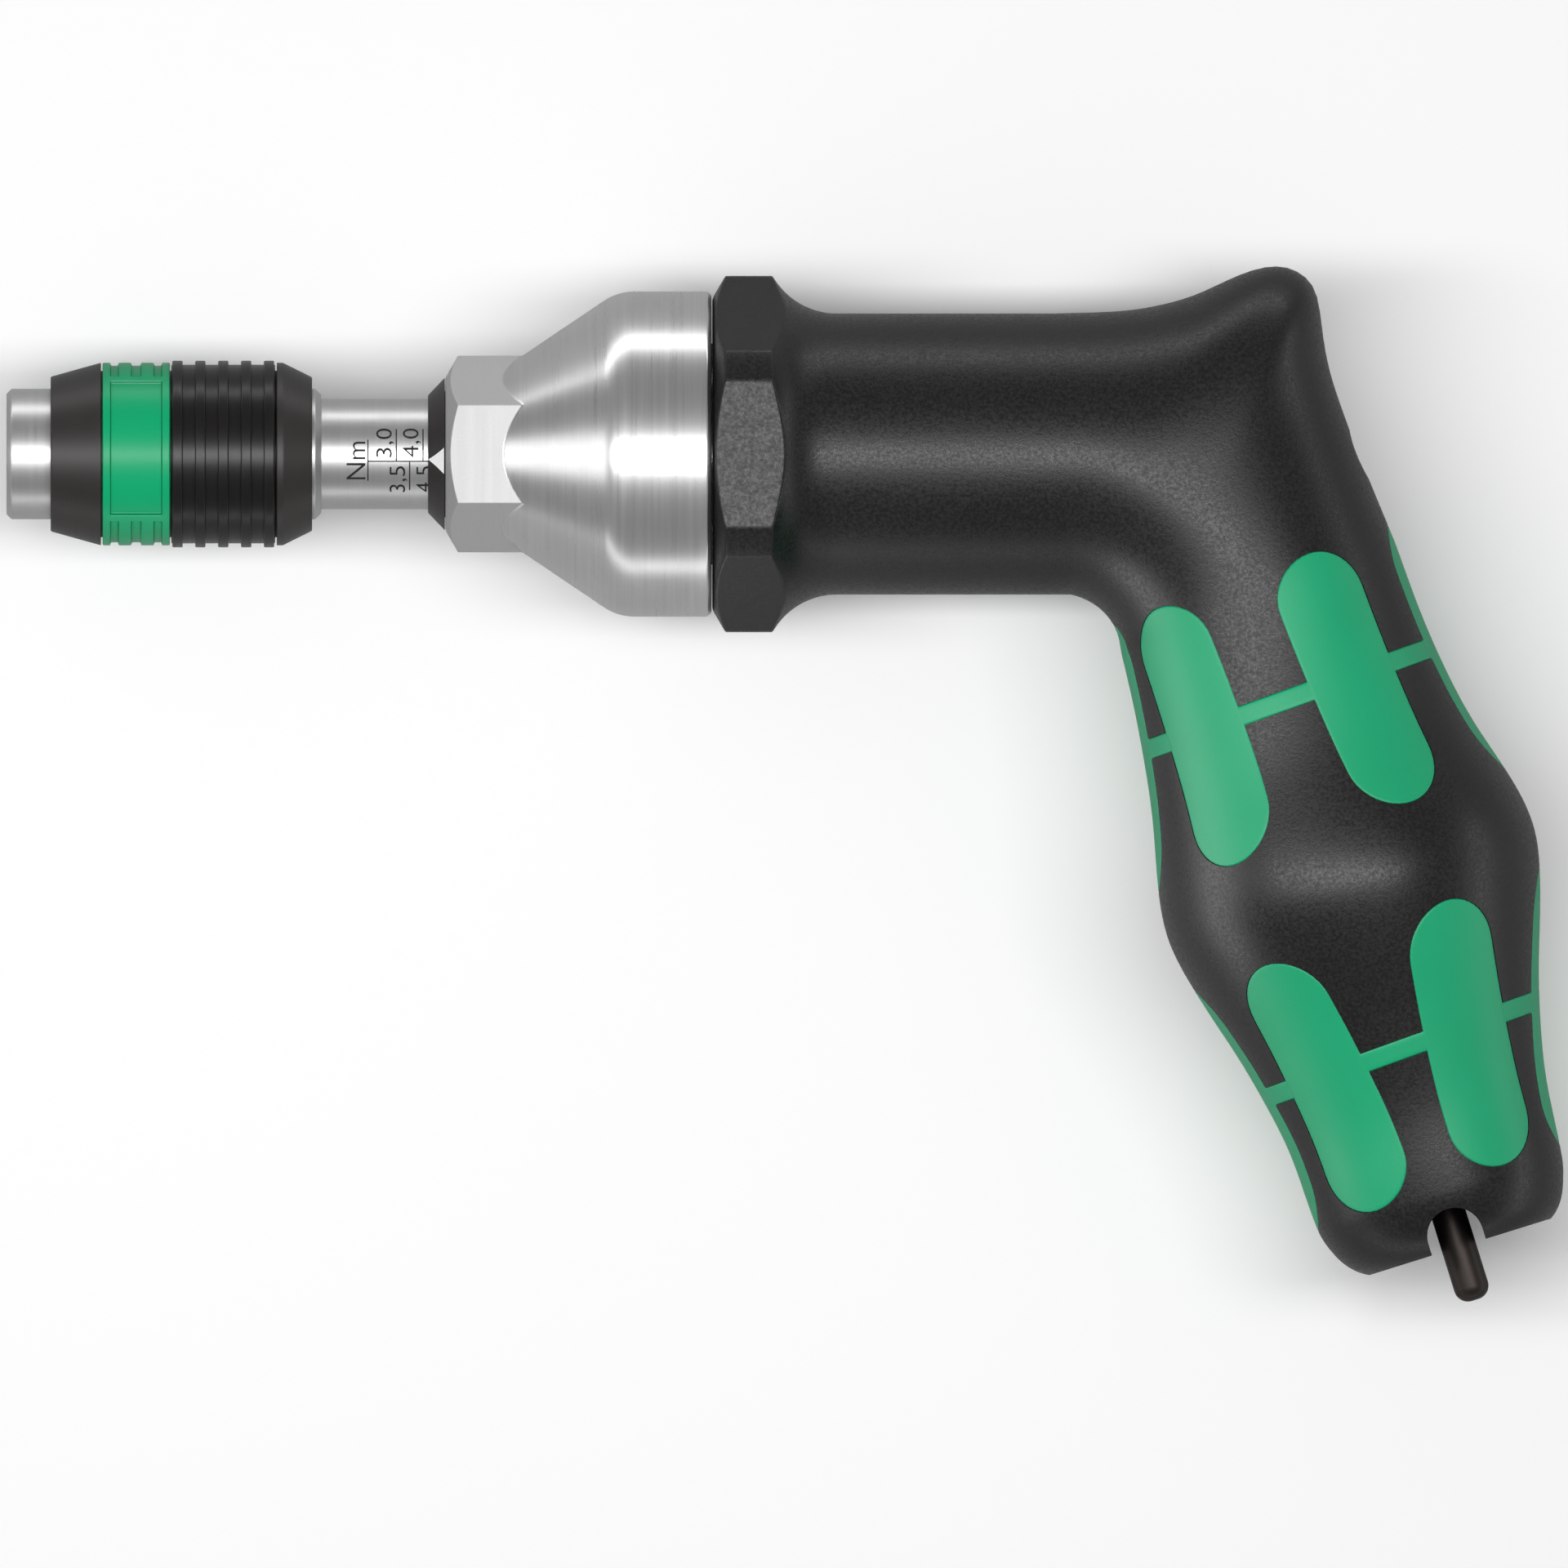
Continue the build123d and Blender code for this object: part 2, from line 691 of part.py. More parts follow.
# Thrust nut, kept from turning by the insert's hexagonal bore
with BuildPart() as thrust_nut:
    with BuildSketch(Plane.YZ.offset(nut_front)):
        RegularPolygon(nut_width / 2, 6, major_radius=False)
    extrude(amount=nut_length)
    with BuildSketch(Plane.YZ.offset(nut_front + nut_wall)):
        Circle(thread_radius + running_clearance)
    extrude(amount=nut_length, mode=Mode.SUBTRACT)
    with Locations((thrust_ball_place, 0, 0)):
        Sphere(thrust_ball_radius + running_clearance, rotation=(0, 90, 0), mode=Mode.SUBTRACT)

# Setting screw: threaded stem, thrust collar and a head with the key's socket
with BuildPart() as setting_screw:
    stem_front = nut_front + nut_wall + setting_travel_in + loose_clearance
    with BuildSketch(Plane.YZ.offset(stem_front)):
        Circle(thread_radius)
    extrude(amount=collar_front - stem_front)
    with BuildSketch(Plane.YZ.offset(collar_front)):
        Circle(collar_radius)
    extrude(amount=collar_thickness)
    with BuildSketch(Plane.YZ.offset(collar_back)):
        Circle(screw_head_radius)
    extrude(amount=screw_head_length)
    with BuildSketch(Plane.YZ.offset(collar_back + screw_head_length - key_socket_depth)):
        RegularPolygon(key_hexagon / 2 + running_clearance, 6, major_radius=False)
    extrude(amount=key_socket_depth, mode=Mode.SUBTRACT)

with BuildPart() as screw_washer:
    with BuildSketch(Plane.YZ.offset(collar_back)):
        Circle(nut_width / 2)
        Circle(screw_head_radius + running_clearance, mode=Mode.SUBTRACT)
    extrude(amount=screw_washer_thickness)

# Insert: flange and thread for the housing, spring bore, hexagonal bore and thrust wall
with BuildPart() as handle_insert:
    insert_step = nut_front - setting_travel_out
    spring_bore_back = seat_back + retaining_thickness + setting_travel_in + loose_clearance
    with BuildSketch(Plane.YZ.offset(handle_front)):
        Circle(insert_flange_radius)
    extrude(amount=insert_flange_length)
    with BuildSketch(Plane.YZ.offset(handle_front)):
        Circle(insert_front_radius)
    extrude(amount=insert_step - handle_front)
    with BuildSketch(Plane.YZ.offset(insert_step)):
        Circle(insert_back_radius)
    extrude(amount=insert_back - insert_step)
    with BuildSketch(Plane.YZ.offset(handle_front)):
        Circle(spigot_radius)
    extrude(amount=spigot_back - handle_front + loose_clearance, mode=Mode.SUBTRACT)
    with BuildSketch(Plane.YZ.offset(handle_front)):
        Circle(spring_bore_radius)
    extrude(amount=spring_bore_back - handle_front, mode=Mode.SUBTRACT)
    with BuildSketch(Plane.YZ.offset(handle_front)):
        RegularPolygon(nut_width / 2 + running_clearance, 6, major_radius=False)
    extrude(amount=insert_wall_front - handle_front, mode=Mode.SUBTRACT)
    with BuildSketch(Plane.YZ.offset(handle_front)):
        Circle(screw_head_radius + loose_clearance)
    extrude(amount=insert_back - handle_front, mode=Mode.SUBTRACT)

# The soft skin of the grip, from which the pads and the rest of the handle are parted
with BuildPart() as grip_skin:
    add(elbow_and_grip(0.0))
    add(elbow_and_grip(inlay_depth), mode=Mode.SUBTRACT)

with BuildPart() as grip_inlay_upper:
    add(grip_skin.part)
    add(pad_row(upper_row_middle, upper_band_middle, upper_side_pads), mode=Mode.INTERSECT)

with BuildPart() as grip_inlay_lower:
    add(grip_skin.part)
    add(pad_row(lower_row_middle, lower_band_middle, lower_side_pads), mode=Mode.INTERSECT)

# Handle moulding: hexagon flange flaring into the tube, elbow with the hump, and grip
with BuildPart() as handle_shell:
    flange_front = handle_front + flange_front_chamfer
    flange_back = flange_front + flange_length
    flare_back = flange_back + flare_length
    flare_drop = flange_corner_radius - tube_radius
    flare_radius = (flare_length**2 + flare_drop**2) / (2 * flare_drop)
    with BuildSketch(Plane.XY):
        with BuildLine():
            Polyline(
                (tube_back, tube_radius),
                (tube_back, 0),
                (handle_front, 0),
                (handle_front, flange_front_radius),
                (flange_front, flange_corner_radius),
                (flange_back, flange_corner_radius),
            )
            RadiusArc((flange_back, flange_corner_radius), (flare_back, tube_radius), -flare_radius)
            Line((flare_back, tube_radius), (tube_back, tube_radius))
        make_face()
    revolve(axis=Axis.X)
    with BuildSketch(Plane.YZ.offset(handle_front)):
        RegularPolygon(flange_width / 2, 6, major_radius=False)
        RegularPolygon(flange_corner_radius, 6, major_radius=False, rotation=30, mode=Mode.INTERSECT)
    extrude(amount=tube_back - handle_front, mode=Mode.INTERSECT)
    add(elbow_and_grip(0.0))
    # Room for the insert, and the bore that the key reaches the screw through
    with BuildSketch(Plane.YZ.offset(handle_front)):
        Circle(insert_flange_radius)
    extrude(amount=insert_flange_length, mode=Mode.SUBTRACT)
    with BuildSketch(Plane.YZ.offset(handle_front)):
        Circle(insert_front_radius)
    extrude(amount=insert_step - handle_front, mode=Mode.SUBTRACT)
    with BuildSketch(Plane.YZ.offset(insert_step)):
        Circle(insert_back_radius)
    extrude(amount=insert_back - insert_step, mode=Mode.SUBTRACT)
    with BuildSketch(Plane.YZ.offset(insert_back)):
        Circle(access_radius)
    extrude(amount=2 * grip_top_radius, mode=Mode.SUBTRACT)
    # Key bore up the grip, the groove of its rubber ring, and the notch across the butt
    with BuildSketch(grip_plane(grip_length - key_bore_depth, key_offset)):
        Circle(key_radius + loose_clearance)
    extrude(amount=key_bore_depth, mode=Mode.SUBTRACT)
    key_ring_middle = grip_length - notch_depth - key_ring_setback
    with BuildSketch(grip_plane(key_ring_middle - key_ring_wire, key_offset)):
        Circle(key_radius + running_clearance + 2 * key_ring_wire)
    extrude(amount=2 * key_ring_wire, mode=Mode.SUBTRACT)
    notch = Plane(origin=grip_plane(grip_length, key_offset).origin, x_dir=grip_down, z_dir=(0, 0, 1))
    with BuildSketch(notch):
        SlotOverall(2 * notch_depth, notch_width)
    extrude(amount=butt_radius, both=True, mode=Mode.SUBTRACT)
    add(grip_inlay_upper.part, mode=Mode.SUBTRACT)
    add(grip_inlay_lower.part, mode=Mode.SUBTRACT)

# Setting key: a round rod with a rounded end and a hexagon at its other end
with BuildPart() as setting_key:
    key_start = grip_length + key_overhang - key_length
    with BuildSketch(grip_plane(key_start, key_offset)):
        RegularPolygon(key_hexagon / 2, 6, major_radius=False)
    extrude(amount=key_hexagon_length)
    with BuildSketch(grip_plane(key_start + key_hexagon_length, key_offset)):
        Circle(key_radius)
    extrude(amount=key_length - key_hexagon_length)
    fillet(setting_key.edges().filter_by(GeomType.CIRCLE).sort_by(Axis.Y)[0], key_end_rounding)

with BuildPart(grip_plane(key_ring_middle, key_offset)) as key_ring:
    Torus(key_radius + running_clearance + key_ring_wire, key_ring_wire)

pieces = {
    "spindle": spindle,
    "bit_magnet": bit_magnet,
    "locking_ball_upper": locking_ball_upper,
    "locking_ball_lower": locking_ball_lower,
    "release_sleeve": release_sleeve,
    "sleeve_ring": sleeve_ring,
    "release_spring": release_spring,
    "front_cone": front_cone,
    "green_ring": green_ring,
    "ribbed_ring": ribbed_ring,
    "rear_cone": rear_cone,
    "pointer_ring": pointer_ring,
    "housing": housing,
    "spindle_bush": spindle_bush,
    "detent_plate": detent_plate,
    "clutch_balls": clutch_balls,
    "clutch_plate": clutch_plate,
    "spring_washer": spring_washer,
    "main_spring": main_spring,
    "spring_seat": spring_seat,
    "seat_ring": seat_ring,
    "thrust_ball": thrust_ball,
    "thrust_nut": thrust_nut,
    "setting_screw": setting_screw,
    "screw_washer": screw_washer,
    "handle_insert": handle_insert,
    "handle_shell": handle_shell,
    "grip_inlay_upper": grip_inlay_upper,
    "grip_inlay_lower": grip_inlay_lower,
    "setting_key": setting_key,
    "key_ring": key_ring,
}

os.makedirs("parts", exist_ok=True)
for name, piece in pieces.items():
    piece.part.label = name
    export_step(piece.part, f"parts/{name}.step")
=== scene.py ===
import math

import bmesh
import bpy
import numpy as np
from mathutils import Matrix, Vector
from mathutils.bvhtree import BVHTree


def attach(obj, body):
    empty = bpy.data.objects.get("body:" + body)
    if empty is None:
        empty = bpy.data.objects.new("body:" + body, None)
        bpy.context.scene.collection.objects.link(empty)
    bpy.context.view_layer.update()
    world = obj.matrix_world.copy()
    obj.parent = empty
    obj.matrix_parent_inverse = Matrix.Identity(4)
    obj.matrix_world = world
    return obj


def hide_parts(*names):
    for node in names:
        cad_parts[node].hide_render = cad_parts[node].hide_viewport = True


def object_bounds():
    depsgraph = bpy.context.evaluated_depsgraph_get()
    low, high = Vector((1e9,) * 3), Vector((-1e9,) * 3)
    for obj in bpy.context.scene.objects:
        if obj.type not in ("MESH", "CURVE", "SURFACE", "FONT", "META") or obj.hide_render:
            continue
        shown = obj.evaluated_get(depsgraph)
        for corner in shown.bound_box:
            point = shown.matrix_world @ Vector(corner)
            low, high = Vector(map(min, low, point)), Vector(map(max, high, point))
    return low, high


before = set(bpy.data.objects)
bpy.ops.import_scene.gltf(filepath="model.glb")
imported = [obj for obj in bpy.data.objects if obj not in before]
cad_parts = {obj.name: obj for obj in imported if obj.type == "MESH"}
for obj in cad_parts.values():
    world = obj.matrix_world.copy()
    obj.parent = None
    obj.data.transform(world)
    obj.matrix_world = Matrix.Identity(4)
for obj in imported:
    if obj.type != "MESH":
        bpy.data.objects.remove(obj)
cad_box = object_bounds()

# Looks of the torque screwdriver. Sizes are in millimetres and become metres as each mesh is made,
# and only the studio is set out in metres. X runs back along the spindle, the grip points towards -Y,
# and Z points up from the table.
MM = 0.001
merge_distance = 0.0005
corner_steps = 4
crease_angle = 32

# Chuck and spindle
nose_radius = 6.5
nose_chamfer = 0.5
socket_half_width = 3.2
socket_depth = 14.0
socket_chamfer = 0.6
magnet_radius = 3.0
magnet_back = 17.8
waist_front = 17.0
waist_back = 27.5
waist_radius = 5.4
shoulder_back = 31.35
shoulder_chamfer = 0.6
shank_radius = 5.5
shank_back = 57.42
drive_half_width = 4.5
drive_back = 75.92
tail_radius = 4.0
tail_back = 98.92
tail_groove = (94.22, 95.22)
tail_groove_radius = 3.4
cup_radius = 2.55
cup_centre = 100.62
ball_place = 10.5
ball_hole_radius = 1.8
ball_rest = 4.75
keyway = ((38.3, 57.5), (-1.0, 1.0), (-6.0, -4.5))

# Rings of the chuck
sleeve_front = 4.4
ring_bore = 7.95
lip_bore = 6.6
lip_back = 7.35
green_front = 9.5
ribbed_front = 16.35
rear_cone_front = 26.85
sleeve_back = 30.45
rear_lip_front = 28.55
cone_small_radius = 7.7
rear_small_radius = 7.65
ring_radius = 9.1
groove_floor = 8.3
half_groove = 0.08
rim_width = 0.6
relief_depth = 0.3
relief_middle = ring_radius - relief_depth / 2
panel_half_width = 2.55
panel_turn = 84.5
panel_half_angle = 47.6
window_half_angle = 36.5
bar_half_width = 0.65
bar_offset = 1.125
rib_count = 5
rib_width = 1.04
rib_radius = 9.3
rib_root = 8.9
first_rib = 16.52
rib_pitch = 2.28

# Pointer ring and scale
pointer_front = 42.0
pointer_back = 43.67
pointer_small_radius = 5.86
pointer_large_radius = 7.6
pointer_bore = 5.55
stem_radius = 6.3
stem_back = 45.27
bead = (44.67, 45.17, 6.7)
pointer_key = ((42.05, 45.2), (-0.95, 0.95), (-6.1, -4.55))
pointer_turn = 5.3
pointer_half_angle = 10.6
ink_raise = 0.012
scale_turn = -7.6
scale_pitch = 2.661
first_upper_line = 38.84
first_lower_line = 40.17
upper_count = 4
lower_count = 3
upper_reach = 26.8
lower_reach = -40.8
line_half_width = 0.06
number_size = (2.95, 1.56)
number_gap = 0.45
upper_number_turn = -3.3
lower_number_turn = -43.4
unit_size = (3.85, 1.89)
unit_baseline = 35.77
unit_turn = -27.2
unit_line = 36.01
unit_line_reach = (-28.8, 15.0)
scale_back = 47.6
letter_weight = -0.006

# Clutch housing
housing_front = 43.72
spanner_half_width = 8.5
spanner_chamfer_radius = 7.6
spanner_chamfer_angle = 60
spanner_chamfer_slope = math.tan(math.radians(spanner_chamfer_angle))
cone_front = 49.48
cone_angle = 34
cone_slope = math.tan(math.radians(cone_angle))
cone_even = 52.6
cone_back = 59.5
housing_radius = 16.2
blend_radius = 5.5
housing_back = 70.22
spigot_radius = 11.0
spigot_back = 80.02
spring_bore = (57.62, 9.5)
bush_bore = (45.52, 7.0)

# Handle: flange, tube, elbow and grip
handle_front = 70.32
flange_half_width = 16.15
flange_corner_radius = 17.75
flange_front_radius = 15.5
flange_middle = 74.0
flange_chamfer = (1.3, 2.25)
flange_chamfer_slope = flange_chamfer[1] / flange_chamfer[0]
flare_back = 82.72
flare_radius = 7.336
tube_radius = 14.0
tube_back = 106.02
insert_steps = ((126.42, 10.5), (97.52, 12.3), (73.32, 14.0))
access_radius = 2.45
access_reach = (125.5, 141.0)
crotch = np.array((tube_back, -21.1, 0.0))
crotch_gap = (7.1, 5.2)
grip_tilt = 17.3
hump = ((17, 0.0), (27, 0.0), (36, 0.85), (45, 2.9), (51, 5.5), (54, 7.6), (57, 9.75), (60, 10.4),
        (63, 9.75), (66, 7.95), (70.5, 4.6), (75, 2.4), (80, 1.0), (90, 0.05), (98, 0.0))
grip_top_radius = 14.7
bulge_radius = 19.1
butt_radius = 12.5
grip_length = 66.8
bulge_rise = ((0.075, 0.07), (0.17, 0.23), (0.25, 0.44), (0.32, 0.71), (0.38, 0.92), (0.44, 0.985))
bulge_fall = ((0.50, 0.885), (0.57, 0.682), (0.64, 0.462), (0.71, 0.283), (0.79, 0.13), (0.88, 0.061))
grip_lean = ((0, 0.0), (17, 0.03), (23, 0.22), (30.5, 0.33), (37, 0.23), (46, 0.0), (53, -0.17), (58, -0.33),
             (61.6, -0.4), (66.8, -0.35))
butt_edge = 3.4
edge_length = 6.0
edge_width_front = 3.3
edge_width_rear = 2.75
edge_arc = 0.93

# Soft inlays
inlay_depth = 1.25
pad_length = 26.8
pad_width = 9.7
pad_crown = ((4.6, 0), (4.1, 0), (3.4, 0), (2.5, 0), (1.6, 0), (0.9, 0), (0.4, 0), (0.22, 0.0), (0.12, 0.02),
             (0.05, 0.07), (0.0, 0.16))
band_width = 2.0
band_crown = ((-1.0, 0.16), (-0.94, 0.07), (-0.86, 0.03), (-0.75, 0.012), (-0.4, 0.012), (0.0, 0.012),
              (0.4, 0.012), (0.75, 0.012), (0.86, 0.03), (0.94, 0.07), (1.0, 0.16))
row_extra_tilt = 2.5
row_lean = math.radians(grip_tilt + row_extra_tilt)
upper_row = (10.0, 9.6, ((0, 0), (180, 0), (63.5, 0), (-63.5, 0), (127.5, 5), (-127.5, -5)))
lower_row = (47.2, 46.3, ((0, 0), (180, 0), (60, 0), (-60, 0), (124, -0.7), (-124, 0.7)))

# Setting key and its place in the butt
key_offset = -0.2
key_radius = 1.75
key_hexagon_half_width = 1.5
key_start = 8.0
key_hexagon_end = 20.0
key_end = 72.3
key_rounding = 1.4
key_bore_radius = 1.85
key_bore_start = 6.0
key_ring_groove = (58.9, 60.7, 3.6)
notch_depth = 4.0
notch_width = 5.6
notch_reach = 16.0

UP = np.array((0.0, 0.0, 1.0))
tilt = math.radians(grip_tilt)
grip_down = np.array((math.sin(tilt), -math.cos(tilt), 0.0))
grip_rear = np.array((math.cos(tilt), math.sin(tilt), 0.0))
grip_top = crotch + grip_rear * (crotch_gap[1] + grip_top_radius)
row_down = np.array((math.sin(row_lean), -math.cos(row_lean), 0.0))
row_rear = np.array((math.cos(row_lean), math.sin(row_lean), 0.0))
cast_reach = bulge_radius + inlay_depth + 0.4


# Meshes

def shown(name, mesh):
    """An object for a mesh, in the scene."""
    piece = bpy.data.objects.new(name, mesh)
    bpy.context.scene.collection.objects.link(piece)
    return piece


def merged(mesh, was_cut=False):
    """Merges a mesh's doubles and turns its faces outwards. A cut mesh also loses its folded slivers, which
    are pairs of triangles that lie back to back on the same corners."""
    work = bmesh.new()
    work.from_mesh(mesh)
    if was_cut:
        bmesh.ops.triangulate(work, faces=work.faces)
    bmesh.ops.remove_doubles(work, verts=work.verts, dist=merge_distance * MM)
    bmesh.ops.dissolve_degenerate(work, edges=work.edges, dist=merge_distance * MM / 5)
    if was_cut:
        alike = {}
        for face in work.faces:
            alike.setdefault(frozenset(face.verts), []).append(face)
        folded = [face for faces in alike.values() if len(faces) > 1 for face in faces]
        bmesh.ops.delete(work, geom=folded, context="FACES")
    bmesh.ops.recalc_face_normals(work, faces=work.faces)
    work.to_mesh(mesh)
    work.free()
    return mesh


def skin(name, rows, closed=False, fold=None):
    """A closed mesh through rows of points. It is joined end to end when closed. Otherwise each end closes
    to a point, or straight across from side to side, folded at the given point of its row."""
    rows = np.array(rows)
    count, around = rows.shape[:2]
    points = rows.reshape(-1, 3)
    row = np.arange(count if closed else count - 1)[:, None]
    column = np.arange(around)[None, :]
    after = (column + 1) % around
    below = (row + 1) % count
    corners = (row * around + column, row * around + after, below * around + after, below * around + column)
    faces = np.stack(corners, -1).reshape(-1, 4).tolist()
    last = (count - 1) * around
    if fold is not None:
        for here in range(fold, fold + around // 2):
            across = (here, here + 1, (2 * fold - here - 1) % around, (2 * fold - here) % around)
            faces.append(tuple(dict.fromkeys(reversed(across))))
            faces.append(tuple(dict.fromkeys(last + place for place in across)))
    elif not closed:
        points = np.vstack((points, rows[0].mean(0), rows[-1].mean(0)))
        for here in range(around):
            there = (here + 1) % around
            faces.append((count * around, there, here))
            faces.append((count * around + 1, last + here, last + there))
    mesh = bpy.data.meshes.new(name)
    mesh.from_pydata((points * MM).tolist(), [], faces)
    return shown(name, merged(mesh))


def box_piece(name, spans):
    """A plain block between the given spans, used to cut with."""
    mesh = bpy.data.meshes.new(name)
    work = bmesh.new()
    bmesh.ops.create_cube(work, size=1.0)
    for corner in work.verts:
        corner.co = [MM * (span[0] if place < 0 else span[1]) for place, span in zip(corner.co, spans)]
    work.to_mesh(mesh)
    work.free()
    return shown(name, mesh)


def plain_mesh(piece):
    """Turns what an object's modifiers make into its own plain mesh."""
    depsgraph = bpy.context.evaluated_depsgraph_get()
    mesh = bpy.data.meshes.new_from_object(piece.evaluated_get(depsgraph))
    piece.modifiers.clear()
    piece.data = mesh
    mesh.name = piece.name
    return piece


def carve(piece, tools, operation="DIFFERENCE"):
    """Cuts the tools out of a piece, or joins them to it, and removes them."""
    group = bpy.data.collections.new("tools")
    for tool in tools:
        group.objects.link(tool)
    cut = piece.modifiers.new("carve", "BOOLEAN")
    cut.solver = "MANIFOLD"
    cut.operation = operation
    cut.operand_type = "COLLECTION"
    cut.collection = group
    plain_mesh(piece)
    merged(piece.data, was_cut=True)
    for tool in tools:
        bpy.data.objects.remove(tool)
    bpy.data.collections.remove(group)
    return piece


def around(step, edges=(), beside=()):
    """Angles round a piece, in even steps with finer ones beside each edge."""
    angles = set(np.round(np.arange(0, 360, step), 3))
    for edge in edges:
        for offset in beside:
            angles.add(round((edge + offset) % 360, 3))
            angles.add(round((edge - offset) % 360, 3))
    return np.radians(sorted(angles))


def hoop(place, radius, angles):
    """A ring of points about the spindle's line."""
    places = np.broadcast_to(place, angles.shape)
    radii = np.broadcast_to(radius, angles.shape)
    return np.column_stack((places, radii * np.cos(angles), radii * np.sin(angles)))


def hoops(outline, angles):
    """Rings of points about the spindle's line, through an outline in (x, radius)."""
    return [hoop(place, radius, angles) for place, radius in outline]


def eased(corners, ease, closed=False):
    """An outline in (x, radius) with each corner drawn as a short curve. A third number sets its size."""
    points = []
    count = len(corners)
    for number, corner in enumerate(corners):
        here = np.array(corner[:2], float)
        size = corner[2] if len(corner) > 2 else ease
        if not closed and number in (0, count - 1):
            points.append(tuple(here))
            continue
        before = np.array(corners[number - 1][:2], float) - here
        after = np.array(corners[(number + 1) % count][:2], float) - here
        long_before, long_after = np.linalg.norm(before), np.linalg.norm(after)
        reach = min(size, 0.42 * long_before, 0.42 * long_after)
        start = here + before / long_before * reach
        end = here + after / long_after * reach
        points.append(tuple(here + before / long_before * reach * 1.15))
        for share in np.linspace(0, 1, corner_steps + 1):
            rest = 1 - share
            points.append(tuple(rest**2 * start + 2 * share * rest * here + share**2 * end))
        points.append(tuple(here + after / long_after * reach * 1.15))
    return points


def turned(name, corners, ease):
    """A turned ring, from the corners of its outline."""
    return skin(name, hoops(eased(corners, ease, closed=True), around(2.5)), closed=True)


def hexagon(half_width, angles, ease=0.0):
    """Distance from the axis to a hexagon with flats above and below, its corners eased."""
    from_corner = np.abs((angles + math.pi / 6) % (math.pi / 3) - math.pi / 6)
    near = half_width / np.cos(math.pi / 6 - from_corner)
    far = half_width / np.cos(math.pi / 6 + from_corner)
    return soft_min(near, far, ease) if ease else near


def soft_min(one, other, ease):
    """The smaller of two numbers, with the change from one to the other eased."""
    meeting = np.maximum(ease - np.abs(one - other), 0) / ease
    return np.minimum(one, other) - meeting**2 * ease / 4


def soft_max(one, other, ease):
    """The larger of two numbers, with the change from one to the other eased."""
    return -soft_min(-one, -other, ease)


def smooth_line(places, heights):
    """A smooth line through points, as a function of place."""
    place = np.array(places)
    height = np.array(heights)
    gap = np.diff(place)
    rows = np.eye(len(place))
    bends = np.zeros(len(place))
    for i in range(1, len(place) - 1):
        rows[i, i - 1: i + 2] = gap[i - 1], 2 * (gap[i - 1] + gap[i]), gap[i]
        bends[i] = 6 * ((height[i + 1] - height[i]) / gap[i] - (height[i] - height[i - 1]) / gap[i - 1])
    bend = np.linalg.solve(rows, bends)

    def value(at):
        i = int(np.clip(np.searchsorted(place, at) - 1, 0, len(gap) - 1))
        before, after = at - place[i], place[i + 1] - at
        curve = (bend[i] * after**3 + bend[i + 1] * before**3) / (6 * gap[i])
        low = (height[i] / gap[i] - bend[i] * gap[i] / 6) * after
        high = (height[i + 1] / gap[i] - bend[i + 1] * gap[i] / 6) * before
        return curve + low + high

    return value


# Geometry Nodes

class Growth:
    """A Geometry Nodes tree with named inputs."""

    def __init__(self, name, **inputs):
        self.tree = bpy.data.node_groups.new(name, "GeometryNodeTree")
        self.tree.interface.new_socket("Geometry", in_out="OUTPUT", socket_type="NodeSocketGeometry")
        self.keys = {}
        for label, kind in inputs.items():
            socket = self.tree.interface.new_socket(label, in_out="INPUT", socket_type="NodeSocket" + kind)
            self.keys[label] = socket.identifier
        self.given = self.tree.nodes.new("NodeGroupInput").outputs

    def node(self, kind, settings=None, **values):
        """Adds a node, with its settings set first, then its inputs."""
        node = self.tree.nodes.new("GeometryNode" + kind)
        for setting, value in (settings or {}).items():
            setattr(node, setting, value)
        for label, value in values.items():
            socket = node.inputs[label.replace("_", " ")]
            if isinstance(value, bpy.types.NodeSocket):
                self.tree.links.new(value, socket)
            else:
                socket.default_value = value
        return node.outputs

    def ends_in(self, geometry):
        """Realizes what was grown and gives it its material."""
        realized = self.node("RealizeInstances", Geometry=geometry)["Geometry"]
        finished = self.node("SetMaterial", Geometry=realized, Material=self.given["Material"])["Geometry"]
        self.tree.links.new(finished, self.tree.nodes.new("NodeGroupOutput").inputs[0])

    def grow(self, name, **values):
        """A piece grown with these values, as a plain mesh."""
        piece = shown(name, bpy.data.meshes.new(name))
        growing = piece.modifiers.new("growth", "NODES")
        growing.node_group = self.tree
        for label, value in values.items():
            growing[self.keys[label]] = value
        return plain_mesh(piece)


def row_growth():
    """Repeats one piece in a straight row."""
    row = Growth("row_of_pieces", Piece="Object", Count="Int", Step="Vector", Material="Material")
    line = row.node("MeshLine", {"mode": "OFFSET"}, Count=row.given["Count"], Offset=row.given["Step"])
    piece = row.node("ObjectInfo", Object=row.given["Piece"])["Geometry"]
    row.ends_in(row.node("InstanceOnPoints", Points=line["Mesh"], Instance=piece)["Instances"])
    return row


def repeated(row, name, piece, count, pitch, material):
    """A piece repeated back along the spindle, as one mesh."""
    grown = row.grow(name, Piece=piece, Count=count, Step=(pitch * MM, 0, 0), Material=material)
    bpy.data.objects.remove(piece)
    return grown


# Shader maths

